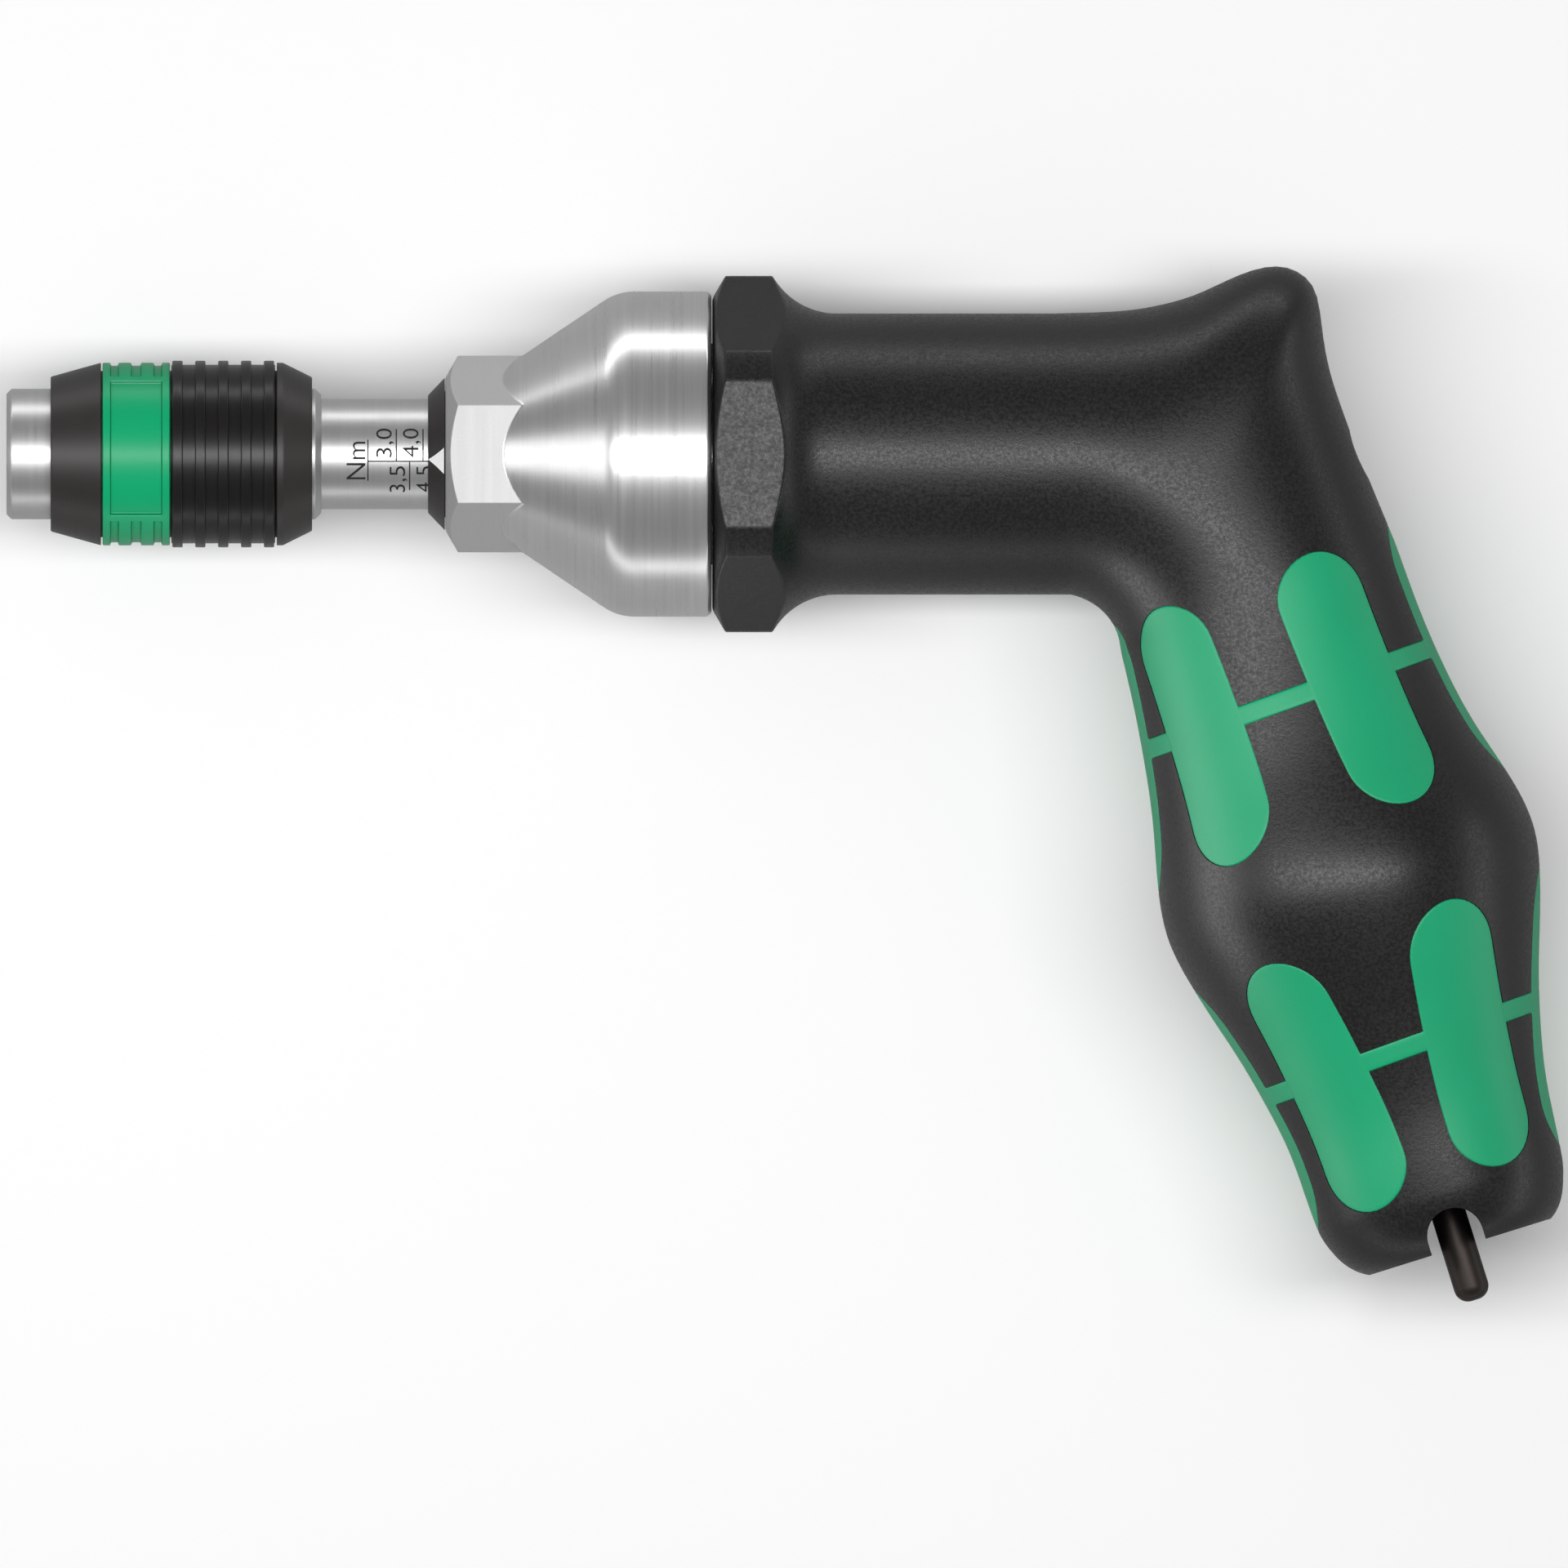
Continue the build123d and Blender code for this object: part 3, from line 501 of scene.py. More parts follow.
class Amount:
    """A number that varies over a surface. Its operators add Math nodes."""

    def __init__(self, finish, socket):
        self.finish = finish
        self.socket = socket

    def worked(self, operation, first, second=0.0):
        return self.finish.amount("Math", {"operation": operation}, {0: first, 1: second})

    def __add__(self, other):
        return self.worked("ADD", self, other)

    def __radd__(self, other):
        return self.worked("ADD", other, self)

    def __sub__(self, other):
        return self.worked("SUBTRACT", self, other)

    def __rsub__(self, other):
        return self.worked("SUBTRACT", other, self)

    def __mul__(self, other):
        return self.worked("MULTIPLY", self, other)

    def __rmul__(self, other):
        return self.worked("MULTIPLY", other, self)

    def __pow__(self, other):
        return self.worked("POWER", self, other)

    def above(self, other):
        return self.worked("GREATER_THAN", self, other)

    def held(self):
        """The amount kept between 0 and 1."""
        return self.worked("MINIMUM", self.worked("MAXIMUM", self, 0.0), 1.0)


class Finish:
    """A procedural material and the nodes that make it."""

    def __init__(self, name, **shader):
        self.material = bpy.data.materials.new(name)
        self.material.use_nodes = True
        self.tree = self.material.node_tree
        self.tree.nodes.clear()
        constants = {label.replace("_", " "): value for label, value in shader.items()}
        self.shader = self.node("BsdfPrincipled", {}, constants)
        self.node("OutputMaterial", {}, {"Surface": self.shader.outputs[0]})
        self.object_place = self.node("TexCoord").outputs["Object"]

    def node(self, kind, settings=None, values=None):
        """Adds a node: its settings first, then the values or links of its inputs."""
        node = self.tree.nodes.new("ShaderNode" + kind)
        for setting, value in (settings or {}).items():
            setattr(node, setting, value)
        for label, value in (values or {}).items():
            if isinstance(value, Amount):
                value = value.socket
            if isinstance(value, bpy.types.NodeSocket):
                self.tree.links.new(value, node.inputs[label])
            else:
                node.inputs[label].default_value = value
        return node

    def amount(self, kind, settings=None, values=None, output=0):
        """Adds a node and gives one of its outputs as a number."""
        return Amount(self, self.node(kind, settings, values).outputs[output])

    def stretched(self, along, across, turn=0.0):
        """The surface's own place with its pattern scaled along and across the piece, turned about Z."""
        values = {"Vector": self.object_place, "Rotation": (0, 0, turn), "Scale": (along, across, across)}
        return self.node("Mapping", {"vector_type": "POINT"}, values).outputs[0]

    def radius(self):
        """Distance from the spindle's axis, in metres."""
        sideways = {0: self.object_place, 1: (0.0, 1.0, 1.0)}
        across = self.node("VectorMath", {"operation": "MULTIPLY"}, sideways)
        return self.amount("VectorMath", {"operation": "LENGTH"}, {0: across.outputs[0]}, "Value")

    def noise(self, scale, detail, roughness, place=None):
        """Cloudy noise, about 0 to 1."""
        values = {"Scale": scale, "Detail": detail, "Roughness": roughness,
                  "Vector": place or self.object_place}
        return self.amount("TexNoise", {"noise_dimensions": "3D"}, values)

    def between(self, amount, low, high):
        """A number that runs from low to high as the amount goes from 0 to 1."""
        return low + amount * (high - low)

    def colour(self, low, high, amount):
        """A colour between two, mixed by an amount."""
        values = {0: amount, 6: (*low, 1.0), 7: (*high, 1.0)}
        return self.node("Mix", {"data_type": "RGBA"}, values).outputs[2]

    def dress(self, **inputs):
        """Links varying values to the shader's inputs."""
        for label, value in inputs.items():
            socket = self.shader.inputs[label.replace("_", " ")]
            self.tree.links.new(value.socket if isinstance(value, Amount) else value, socket)
        return self.material

    def bumped(self, height, distance, strength):
        """A normal that follows a height, whose full step is a distance in millimetres."""
        values = {"Height": height, "Distance": distance * MM, "Strength": strength}
        return self.node("Bump", {}, values).outputs[0]


def linear(red, green, blue):
    """A colour of the usual 0 to 255 kind as the shader's own numbers."""
    shares = (red / 255, green / 255, blue / 255)
    return tuple(c / 12.92 if c <= 0.04045 else ((c + 0.055) / 1.055) ** 2.4 for c in shares)


# Finishes

def grained_handle_plastic():
    """Black moulded handle: fine leathery grain, a little duller on its high spots."""
    finish = Finish("handle_plastic_grain", IOR=1.5, Specular_IOR_Level=0.46)
    grain = finish.noise(3000.0, 2.0, 0.6)
    fine = finish.noise(9000.0, 2.0, 0.6)
    broad = finish.noise(90.0, 3.0, 0.55)
    speck = ((grain - 0.35) * 3.0).held()
    return finish.dress(
        Base_Color=finish.colour(linear(3, 3, 3), linear(17, 17, 17), (broad * 0.3 + speck * 0.6).held()),
        Roughness=finish.between((speck * 0.8 + broad * 0.2).held(), 0.3, 0.52),
        Normal=finish.bumped(grain * 1.2 + fine * 0.3, 0.022, 0.7),
    )


def satin_ring_plastic(name, low, high, level, rough):
    """Warm black satin plastic of the chuck's rings and the pointer ring, with faint turning marks."""
    finish = Finish(name, IOR=1.5, Specular_IOR_Level=level)
    marks = finish.noise(1.0, 3.0, 0.6, finish.stretched(5200.0, 120.0))
    broad = finish.noise(160.0, 2.0, 0.5)
    return finish.dress(
        Base_Color=finish.colour(low, high, broad),
        Roughness=finish.between(marks, *rough),
        Normal=finish.bumped(marks, 0.006, 0.5),
    )


def green_ring_plastic():
    """Green satin plastic, with painted shade that turns the walls of its sunken panels and windows dark
    green.
    """
    finish = Finish("green_ring_plastic", IOR=1.48, Specular_IOR_Level=0.32)
    fine = finish.noise(4200.0, 2.0, 0.55)
    broad = finish.noise(220.0, 3.0, 0.5)
    # Painted shade: wall is 1 on the step walls of the sunken panels and windows, and there the base colour
    # turns dark green as if in shade.
    wall = 1 - (((finish.radius() - relief_middle * MM) * (12.0 / MM)) ** 2.0).held()
    return finish.dress(
        # The colour mix is mostly the painted wall shade, with a slight random change of tone from broad.
        Base_Color=finish.colour(linear(2, 168, 111), linear(1, 84, 52), (wall * 0.9 + broad * 0.1).held()),
        Roughness=finish.between(fine, 0.28, 0.42),
        Normal=finish.bumped(fine, 0.012, 0.5),
    )


def green_soft_inlay():
    """Matt green soft plastic with a very fine tooth and slight shade changes."""
    finish = Finish("green_soft_inlay", IOR=1.45, Specular_IOR_Level=0.52)
    fine = finish.noise(5200.0, 3.0, 0.65)
    broad = finish.noise(75.0, 3.0, 0.5)
    shade = (broad * 0.7 + fine * 0.3).held()
    return finish.dress(
        Base_Color=finish.colour(linear(1, 156, 105), linear(7, 172, 119), shade),
        Roughness=finish.between(fine, 0.38, 0.54),
        Normal=finish.bumped(fine, 0.018, 0.5),
    )


def housing_finish():
    """Housing metal: turning lines round the cone and the cylinder, the spanner hexagon evenly matt."""
    finish = Finish("turned_housing_metal", Metallic=1.0)
    lines = finish.noise(1.0, 4.0, 0.7, finish.stretched(3000.0, 35.0))
    wide_lines = finish.noise(1.0, 2.0, 0.5, finish.stretched(500.0, 20.0))
    grain = finish.noise(5200.0, 2.0, 0.6)
    cloud = finish.noise(140.0, 3.0, 0.5)
    along = finish.amount("SeparateXYZ", {}, {0: finish.object_place})
    cone = (along - cone_front * MM) * cone_slope + spanner_half_width * MM
    milled = (finish.radius() - cone).above(0.05 * MM)
    turned_lines = (lines * 0.6 + wide_lines * 0.4) * (1 - milled)
    smooth = finish.between((lines * 0.7 + wide_lines * 0.4).held(), 0.22, 0.34)
    return finish.dress(
        Base_Color=finish.colour((0.49, 0.49, 0.49), (0.8, 0.8, 0.8),
                                 ((lines * 0.6 + cloud * 0.4) * (1 - milled) + grain * 0.2 * milled).held()),
        Roughness=smooth + milled * 0.33,
        Normal=finish.bumped(turned_lines + grain * milled * 0.4, 0.012, 0.6),
    )


def turned_metal(name, low, high, rough, depth, pitch=5200.0, turn=0.0):
    """Metal with fine turning lines round its axis and a faint cloudiness."""
    finish = Finish(name, Metallic=1.0)
    lines = finish.noise(1.0, 4.0, 0.7, finish.stretched(pitch, 35.0, turn))
    wide_lines = finish.noise(1.0, 2.0, 0.5, finish.stretched(pitch / 6, 20.0, turn))
    cloud = finish.noise(140.0, 3.0, 0.5)
    return finish.dress(
        Base_Color=finish.colour(low, high, (lines * 0.6 + cloud * 0.4).held()),
        Roughness=finish.between((lines * 0.7 + wide_lines * 0.4).held(), *rough),
        Normal=finish.bumped(lines * 0.7 + wide_lines * 0.5, depth, 0.6),
    )


def cast_metal(name, low, high, rough, scale, depth, metallic=1.0):
    """Metal or rubber with an even, grainy surface."""
    finish = Finish(name, Metallic=metallic)
    grain = finish.noise(scale, 3.0, 0.6)
    cloud = finish.noise(scale / 12, 2.0, 0.5)
    return finish.dress(
        Base_Color=finish.colour(low, high, (grain * 0.5 + cloud * 0.5).held()),
        Roughness=finish.between(grain, *rough),
        Normal=finish.bumped(grain, depth, 0.5),
    )


def ink(name, colour, worn):
    """Printed ink, a little thin in places."""
    finish = Finish(name, Specular_IOR_Level=0.15)
    patches = finish.noise(2600.0, 3.0, 0.6)
    return finish.dress(
        Base_Color=finish.colour(colour, worn, (patches * 1.4 - 0.5).held()),
        Roughness=finish.between(patches, 0.6, 0.8),
    )


handle_plastic = grained_handle_plastic()
ring_plastic = satin_ring_plastic("ring_plastic_satin", linear(26, 23, 21), linear(37, 33, 31), 0.55,
                                  (0.38, 0.5))
rib_plastic = satin_ring_plastic("rib_plastic_satin", linear(12, 11, 10), linear(20, 18, 17), 0.36,
                                 (0.24, 0.4))
green_plastic = green_ring_plastic()
green_soft = green_soft_inlay()
ground_steel = turned_metal("ground_steel", (0.47, 0.47, 0.475), (0.62, 0.62, 0.625), (0.3, 0.44), 0.006,
                            3600.0)
housing_metal = housing_finish()
blackened_rod = turned_metal("blackened_rod", (0.036, 0.03, 0.028), (0.056, 0.047, 0.044), (0.38, 0.54),
                             0.004, 900.0, tilt - math.pi / 2)
dark_steel = turned_metal("hardened_steel", (0.36, 0.36, 0.37), (0.48, 0.48, 0.49), (0.25, 0.4), 0.004)
spring_wire = cast_metal("oiled_spring_wire", (0.13, 0.13, 0.14), (0.22, 0.22, 0.23), (0.25, 0.4),
                         1800.0, 0.004)
bush_bronze = cast_metal("sintered_bronze", (0.36, 0.22, 0.09), (0.5, 0.33, 0.15), (0.35, 0.55),
                         3200.0, 0.012)
magnet_plate = cast_metal("magnet_plating", (0.5, 0.5, 0.52), (0.62, 0.62, 0.64), (0.12, 0.25),
                          900.0, 0.002)
black_rubber = cast_metal("black_rubber", (0.012, 0.012, 0.012), (0.025, 0.025, 0.025), (0.55, 0.75),
                          2600.0, 0.01, 0.0)
scale_ink = ink("black_scale_ink", (0.012, 0.012, 0.013), (0.05, 0.05, 0.052))
pointer_ink = ink("white_pointer_ink", (0.92, 0.92, 0.92), (0.84, 0.84, 0.84))


def placed(piece, material, body, nodes=()):
    """Gives a finished piece its material and smooth shading with its sharp edges kept, attaches it to its
    body, and hides the CAD nodes that it stands for."""
    piece.data.materials.clear()
    piece.data.materials.append(material)
    piece.data.shade_smooth()
    piece.data.set_sharp_from_angle(angle=math.radians(crease_angle))
    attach(piece, body)
    if nodes:
        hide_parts(*nodes)
    return piece


# Chuck and spindle

def make_spindle():
    """Chuck body, shank, drive and tail in one, with its socket, ball holes and keyway."""
    angles = around(2.5, range(0, 360, 60), (0.0, 0.5, 1.2))
    socket = hexagon(socket_half_width, angles, 0.05)
    drive = hexagon(drive_half_width, angles, 0.1)
    countersunk = socket_half_width + socket_chamfer
    mouth = countersunk - socket
    rows = hoops((
        (magnet_back, 1.0), (magnet_back, magnet_radius), (socket_depth, magnet_radius),
        (socket_depth, socket), (socket_depth - 0.3, socket), (1.2, socket), (mouth + 0.15, socket),
        (mouth, socket),
    ), angles)
    rows += hoops(eased((
        (0.0, countersunk - 0.05), (0.0, countersunk, 0.1), (0.0, nose_radius - nose_chamfer, 0.12),
        (nose_chamfer, nose_radius, 0.12), (waist_front, nose_radius), (waist_front, waist_radius),
        (waist_back, waist_radius), (waist_back, nose_radius),
        (shoulder_back - shoulder_chamfer, nose_radius, 0.1),
        (shoulder_back, nose_radius - shoulder_chamfer, 0.1), (shoulder_back, shank_radius, 0.08),
        (shank_back, shank_radius, 0.15), (shank_back, drive_half_width + 0.8),
    ), 0.08), angles)
    rows += [hoop(place, drive, angles) for place in (shank_back + 0.02, 60.0, drive_back - 0.1, drive_back)]
    front, back = tail_groove
    rows += hoops(eased((
        (drive_back, tail_radius + 0.2), (drive_back, tail_radius), (front, tail_radius),
        (front, tail_groove_radius), (back, tail_groove_radius), (back, tail_radius),
        (tail_back, tail_radius), (tail_back, 2.2),
    ), 0.06), angles)
    for turn in np.linspace(48, 4, 9):
        place = cup_centre - cup_radius * math.cos(math.radians(turn))
        rows.append(hoop(min(place, tail_back), cup_radius * math.sin(math.radians(turn)), angles))
    spindle = skin("spindle_body", rows)
    tools = [box_piece("keyway_cutter", keyway)]
    turns = around(10.0)
    reach = [(ball_rest - ball_hole_radius * math.cos(a), ball_hole_radius * math.sin(a))
             for a in np.linspace(0.1, math.pi / 2, 8)] + [(nose_radius + 0.5, ball_hole_radius)]
    for side in (1, -1):
        rows = [np.column_stack((ball_place + radius * np.cos(turns), np.full(len(turns), side * height),
                                 radius * np.sin(turns))) for height, radius in reach]
        tools.append(skin("ball_hole_cutter", rows))
    carve(spindle, tools)
    return placed(spindle, ground_steel, "spindle", ["spindle"])


def make_cones():
    """The two tapered black rings at the ends of the chuck's sleeve."""
    front = turned("front_cone_ring", (
        (sleeve_front, lip_bore), (sleeve_front, cone_small_radius, 0.15),
        (green_front - half_groove, ring_radius, 0.12), (green_front - half_groove, groove_floor),
        (green_front, groove_floor), (green_front, ring_bore), (lip_back, ring_bore), (lip_back, lip_bore),
    ), 0.05)
    placed(front, ring_plastic, "chuck_rings", ["front_cone"])
    groove_back = rear_cone_front + half_groove
    rear = turned("rear_cone_ring", (
        (rear_cone_front, ring_bore), (rear_cone_front, groove_floor), (groove_back, groove_floor),
        (groove_back, ring_radius, 0.1), (groove_back + rim_width, ring_radius, 0.15),
        (sleeve_back, rear_small_radius, 0.15), (sleeve_back, lip_bore), (rear_lip_front, lip_bore),
        (rear_lip_front, ring_bore),
    ), 0.05)
    placed(rear, ring_plastic, "chuck_rings", ["rear_cone"])


def rise(value, edge, width):
    """From 0 to 1 as a value crosses an edge, smoothly over a width."""
    share = np.clip((value - edge) / width + 0.5, 0, 1)
    return share * share * (3 - 2 * share)


def make_green_ring():
    """The green ring: two sunken panels, and between them two sunken windows with two raised bars each."""
    middle = (green_front + ribbed_front) / 2
    panels = [(panel_turn + turn, panel_half_angle) for turn in (0, 180)]
    windows = [(panel_turn + turn, window_half_angle) for turn in (90, 270)]
    angle_edges = [turn + side * half for turn, half in panels + windows for side in (1, -1)]
    angles = around(2.5, angle_edges, (0.0, 0.35, 0.7, 1.1))
    bar_start, bar_end = bar_offset - bar_half_width, bar_offset + bar_half_width
    places = set(np.linspace(green_front + 0.35, ribbed_front - 0.35, 9))
    for offset in (panel_half_width, bar_end, bar_start):
        for edge in (middle + offset, middle - offset):
            places |= {edge - 0.12, edge - 0.06, edge, edge + 0.06, edge + 0.12}

    def sunk(fields):
        """How far each angle lies inside the fields, from 0 to 1."""
        return sum(1 - rise(np.abs((np.degrees(angles) - centre + 180) % 360 - 180), half, 1.5)
                   for centre, half in fields)

    def height(place):
        off = abs(place - middle)
        inside = 1 - rise(off, panel_half_width, 0.16)
        bar = rise(off, bar_start, 0.16) * (1 - rise(off, bar_end, 0.16))
        return ring_radius - relief_depth * (sunk(panels) * inside + sunk(windows) * inside * (1 - bar))

    front, back = green_front + half_groove, ribbed_front - half_groove
    outline = [(green_front, ring_bore), (green_front, groove_floor), (front, groove_floor),
               (front, ring_radius - 0.12), (front + 0.04, ring_radius - 0.04), (front + 0.12, ring_radius)]
    outline += [(place, height(place)) for place in sorted(places)]
    outline += [(back - 0.12, ring_radius), (back - 0.04, ring_radius - 0.04), (back, ring_radius - 0.12),
                (back, groove_floor), (ribbed_front, groove_floor), (ribbed_front, ring_bore)]
    ring = skin("green_ring_panels", hoops(outline, angles), closed=True)
    placed(ring, green_plastic, "chuck_rings", ["green_ring"])


def make_ribbed_ring(row):
    """The black ring, and its five ribs repeated along the spindle."""
    front, back = ribbed_front + half_groove, rear_cone_front - half_groove
    core = turned("ribbed_ring_core", (
        (ribbed_front, ring_bore), (ribbed_front, groove_floor), (front, groove_floor),
        (front, rib_root, 0.1), (back, rib_root, 0.1), (back, groove_floor), (rear_cone_front, groove_floor),
        (rear_cone_front, ring_bore),
    ), 0.04)
    rib_back = first_rib + rib_width
    rib = turned("rib", (
        (first_rib, rib_root - 0.2), (first_rib, rib_radius, 0.16), (rib_back, rib_radius, 0.16),
        (rib_back, rib_root - 0.2),
    ), 0.03)
    ring = carve(core, [repeated(row, "ribbed_ring_ribs", rib, rib_count, rib_pitch, rib_plastic)], "UNION")
    placed(ring, rib_plastic, "chuck_rings", ["ribbed_ring"])


# Pointer ring and scale

def make_pointer():
    """Conical collar with its key, and the white pointer on its cone."""
    bead_front, bead_back, bead_radius = bead
    collar = turned("pointer_collar", (
        (pointer_front, pointer_bore), (pointer_front, pointer_small_radius, 0.1),
        (pointer_back, pointer_large_radius, 0.1), (pointer_back, stem_radius), (bead_front, stem_radius),
        (bead_front, bead_radius), (bead_back, bead_radius), (bead_back, stem_radius),
        (stem_back, stem_radius), (stem_back, pointer_bore),
    ), 0.05)
    carve(collar, [box_piece("collar_key", pointer_key)], "UNION")
    placed(collar, ring_plastic, "clutch", ["pointer_ring"])
    slope = (pointer_large_radius - pointer_small_radius) / (pointer_back - pointer_front)
    rows = []
    for share in np.linspace(0.02, 0.95, 12):
        place = pointer_front + (pointer_back - pointer_front) * share
        across = np.radians(90 + pointer_turn + pointer_half_angle * share * np.linspace(-1, 1, 9))
        radius = pointer_small_radius + slope * (place - pointer_front)
        below = hoop(place, radius - 0.08, across[::-1])
        rows.append(np.vstack((hoop(place, radius + 0.02, across), below)))
    placed(skin("white_pointer", rows), pointer_ink, "clutch")


def on_shank(mesh, start_angle):
    """Bends a flat mark, read up the page, onto the shank, with its left end at an angle from the top."""
    work = bmesh.new()
    work.from_mesh(mesh)
    bmesh.ops.remove_doubles(work, verts=work.verts, dist=merge_distance)
    low = min(corner.co.x for corner in work.verts)
    high = max(corner.co.x for corner in work.verts)
    for cut in np.arange(low, high, 0.2):
        everything = work.verts[:] + work.edges[:] + work.faces[:]
        bmesh.ops.bisect_plane(work, geom=everything, plane_co=(cut, 0, 0), plane_no=(1, 0, 0))
    for corner in work.verts:
        angle = math.radians(start_angle) + (corner.co.x - low) / shank_radius
        radius = shank_radius + (ink_raise if corner.co.z > 0 else -0.05)
        corner.co = Vector((corner.co.y, radius * math.sin(angle), radius * math.cos(angle))) * MM
    work.to_mesh(mesh)
    work.free()
    return merged(mesh)


def lettered(name, text, size, baseline, start_angle):
    """A word on the shank, of a width and a height, its baseline at a place along the spindle."""
    letters = bpy.data.curves.new(name, "FONT")
    letters.body = text
    letters.extrude = 0.01
    letters.offset = letter_weight
    letters.resolution_u = 4
    writing = bpy.data.objects.new(name, letters)
    bpy.context.scene.collection.objects.link(writing)
    depsgraph = bpy.context.evaluated_depsgraph_get()
    mesh = bpy.data.meshes.new_from_object(writing.evaluated_get(depsgraph))
    bpy.data.objects.remove(writing)
    corners = np.array([corner.co for corner in mesh.vertices])
    digits_top = corners[:, 1].max()
    left, right = corners[:, 0].min(), corners[:, 0].max()
    for corner in mesh.vertices:
        corner.co.x = (corner.co.x - left) * size[0] / (right - left)
        corner.co.y = baseline - corner.co.y * size[1] / digits_top
    placed(shown(name, on_shank(mesh, start_angle)), scale_ink, "spindle")


def scale_bar(name, places, reach):
    """A thin line on the shank, from one place and angle to another."""
    section = ((places[0], ink_raise), (places[1], ink_raise), (places[1], -0.05), (places[0], -0.05))
    rows = []
    for turn in np.radians(np.linspace(*reach, 25)):
        radii = [(place, shank_radius + lift) for place, lift in section]
        rows.append(np.array([(place, radius * math.sin(turn), radius * math.cos(turn))
                              for place, radius in radii]))
    return skin(name, rows)


def make_scale(row):
    """Torque scale: centre line, the repeated lines to both sides, their numbers and the unit."""
    half = line_half_width
    half_turn = math.degrees(half / shank_radius)
    centre_reach = (scale_turn - half_turn, scale_turn + half_turn)
    placed(scale_bar("scale_centre_line", (unit_line, scale_back), centre_reach), scale_ink, "spindle")
    underline = scale_bar("scale_unit_line", (unit_line - half, unit_line + half), unit_line_reach)
    placed(underline, scale_ink, "spindle")
    for side, first, count, reach in (
        ("upper", first_upper_line, upper_count, (scale_turn, upper_reach)),
        ("lower", first_lower_line, lower_count, (lower_reach, scale_turn)),
    ):
        line = scale_bar("scale_line", (first - half, first + half), reach)
        lines = repeated(row, f"scale_{side}_lines", line, count, scale_pitch, scale_ink)
        placed(lines, scale_ink, "spindle")
    lettered("scale_unit", "Nm", unit_size, unit_baseline, unit_turn)
    for kind, ending, first, count, turn in (
        ("number", 0, first_upper_line, upper_count, upper_number_turn),
        ("half", 5, first_lower_line, lower_count, lower_number_turn),
    ):
        for step in range(count):
            baseline = first + scale_pitch * step - number_gap
            lettered(f"scale_{kind}_{step + 3}", f"{step + 3},{ending}", number_size, baseline, turn)


# Housing

def make_housing():
    """Clutch housing: spanner hexagon running out in the cone, cylinder, and the spigot behind it."""
    angles = around(1.25, range(0, 360, 60), (0.3, 0.7))
    flats = hexagon(spanner_half_width, angles, 0.1)
    chamfer_end = housing_front + (flats - spanner_chamfer_radius) / spanner_chamfer_slope
    flats_end = cone_front + (flats - spanner_half_width) / cone_slope

    def row(place):
        chamfer = spanner_chamfer_radius + (place - housing_front) * spanner_chamfer_slope
        cone = spanner_half_width + (place - cone_front) * cone_slope
        return hoop(place, soft_max(soft_min(flats, chamfer, 0.1), cone, 0.12), angles)

    bead_start, bead_end, bead_bore = bead[0] - 0.1, bead[1] + 0.1, bead[2] + 0.05
    stem_bore = stem_radius + 0.05
    rows = hoops((
        (spigot_back, spring_bore[1]), spring_bore, (spring_bore[0], bush_bore[1]), bush_bore,
        (bush_bore[0], stem_bore), (bead_end, stem_bore), (bead_end, bead_bore), (bead_start, bead_bore),
        (bead_start, stem_bore), (housing_front, stem_bore), (housing_front, spanner_chamfer_radius - 0.15),
        (housing_front + 0.02, spanner_chamfer_radius - 0.04),
    ), angles)
    rows += [row(housing_front + (chamfer_end - housing_front) * share) for share in (0.12, 0.5, 0.85)]
    rows += [row(chamfer_end + offset) for offset in (-0.05, -0.02, 0.0, 0.03, 0.07, 0.14, 0.3)]
    rows += [row(chamfer_end + 0.3 + (flats_end - chamfer_end - 0.6) * share)
             for share in (0.25, 0.5, 0.75, 1.0)]
    rows += [row(flats_end + offset) for offset in (-0.16, -0.07, -0.03, 0.0, 0.03, 0.07, 0.16, 0.3)]
    rows += [row(flats_end + 0.3 + (cone_even - flats_end - 0.3) * share) for share in (0.35, 0.7, 1.0)]
    rows += [row(np.full(angles.shape, place)) for place in np.linspace(cone_even, cone_back, 9)[1:-1]]
    blend_centre = (cone_front + (housing_radius - spanner_half_width) / cone_slope
                    + blend_radius * math.tan(math.radians(cone_angle / 2)))
    for turn in np.radians(np.linspace(90 + cone_angle, 90, 13)):
        place = blend_centre + blend_radius * math.cos(turn)
        rows.append(hoop(place, housing_radius - blend_radius + blend_radius * math.sin(turn), angles))
    rows += hoops(eased((
        (blend_centre + 0.5, housing_radius), (housing_back - 0.4, housing_radius, 0.15),
        (housing_back, housing_radius - 0.4, 0.15), (housing_back, spigot_radius),
        (spigot_back, spigot_radius), (spigot_back, spring_bore[1] + 0.1),
    ), 0.05), angles)
    housing = skin("clutch_housing", rows, closed=True)
    placed(housing, housing_metal, "handle", ["housing"])


# Handle

def swell(start_radius, shares):
    """Points on the grip's outline, from shares of its length and of the rise to its widest."""
    return [(share * grip_length, start_radius + (bulge_radius - start_radius) * up) for share, up in shares]


grip_radius = smooth_line(*zip((0.0, grip_top_radius), *swell(grip_top_radius, bulge_rise),
                               *swell(butt_radius, bulge_fall), (grip_length - butt_edge, butt_radius)))
grip_shift = smooth_line(*zip(*grip_lean))
hump_rise = smooth_line(*zip(*hump))


def grip_hoop(distance, radius, angles, shift=0.0):
    """A ring of points across the grip."""
    centre = grip_top + grip_down * distance + grip_rear * shift
    radii = np.broadcast_to(radius, angles.shape)[:, None]
    return centre + radii * (np.cos(angles)[:, None] * grip_rear + np.sin(angles)[:, None] * UP)


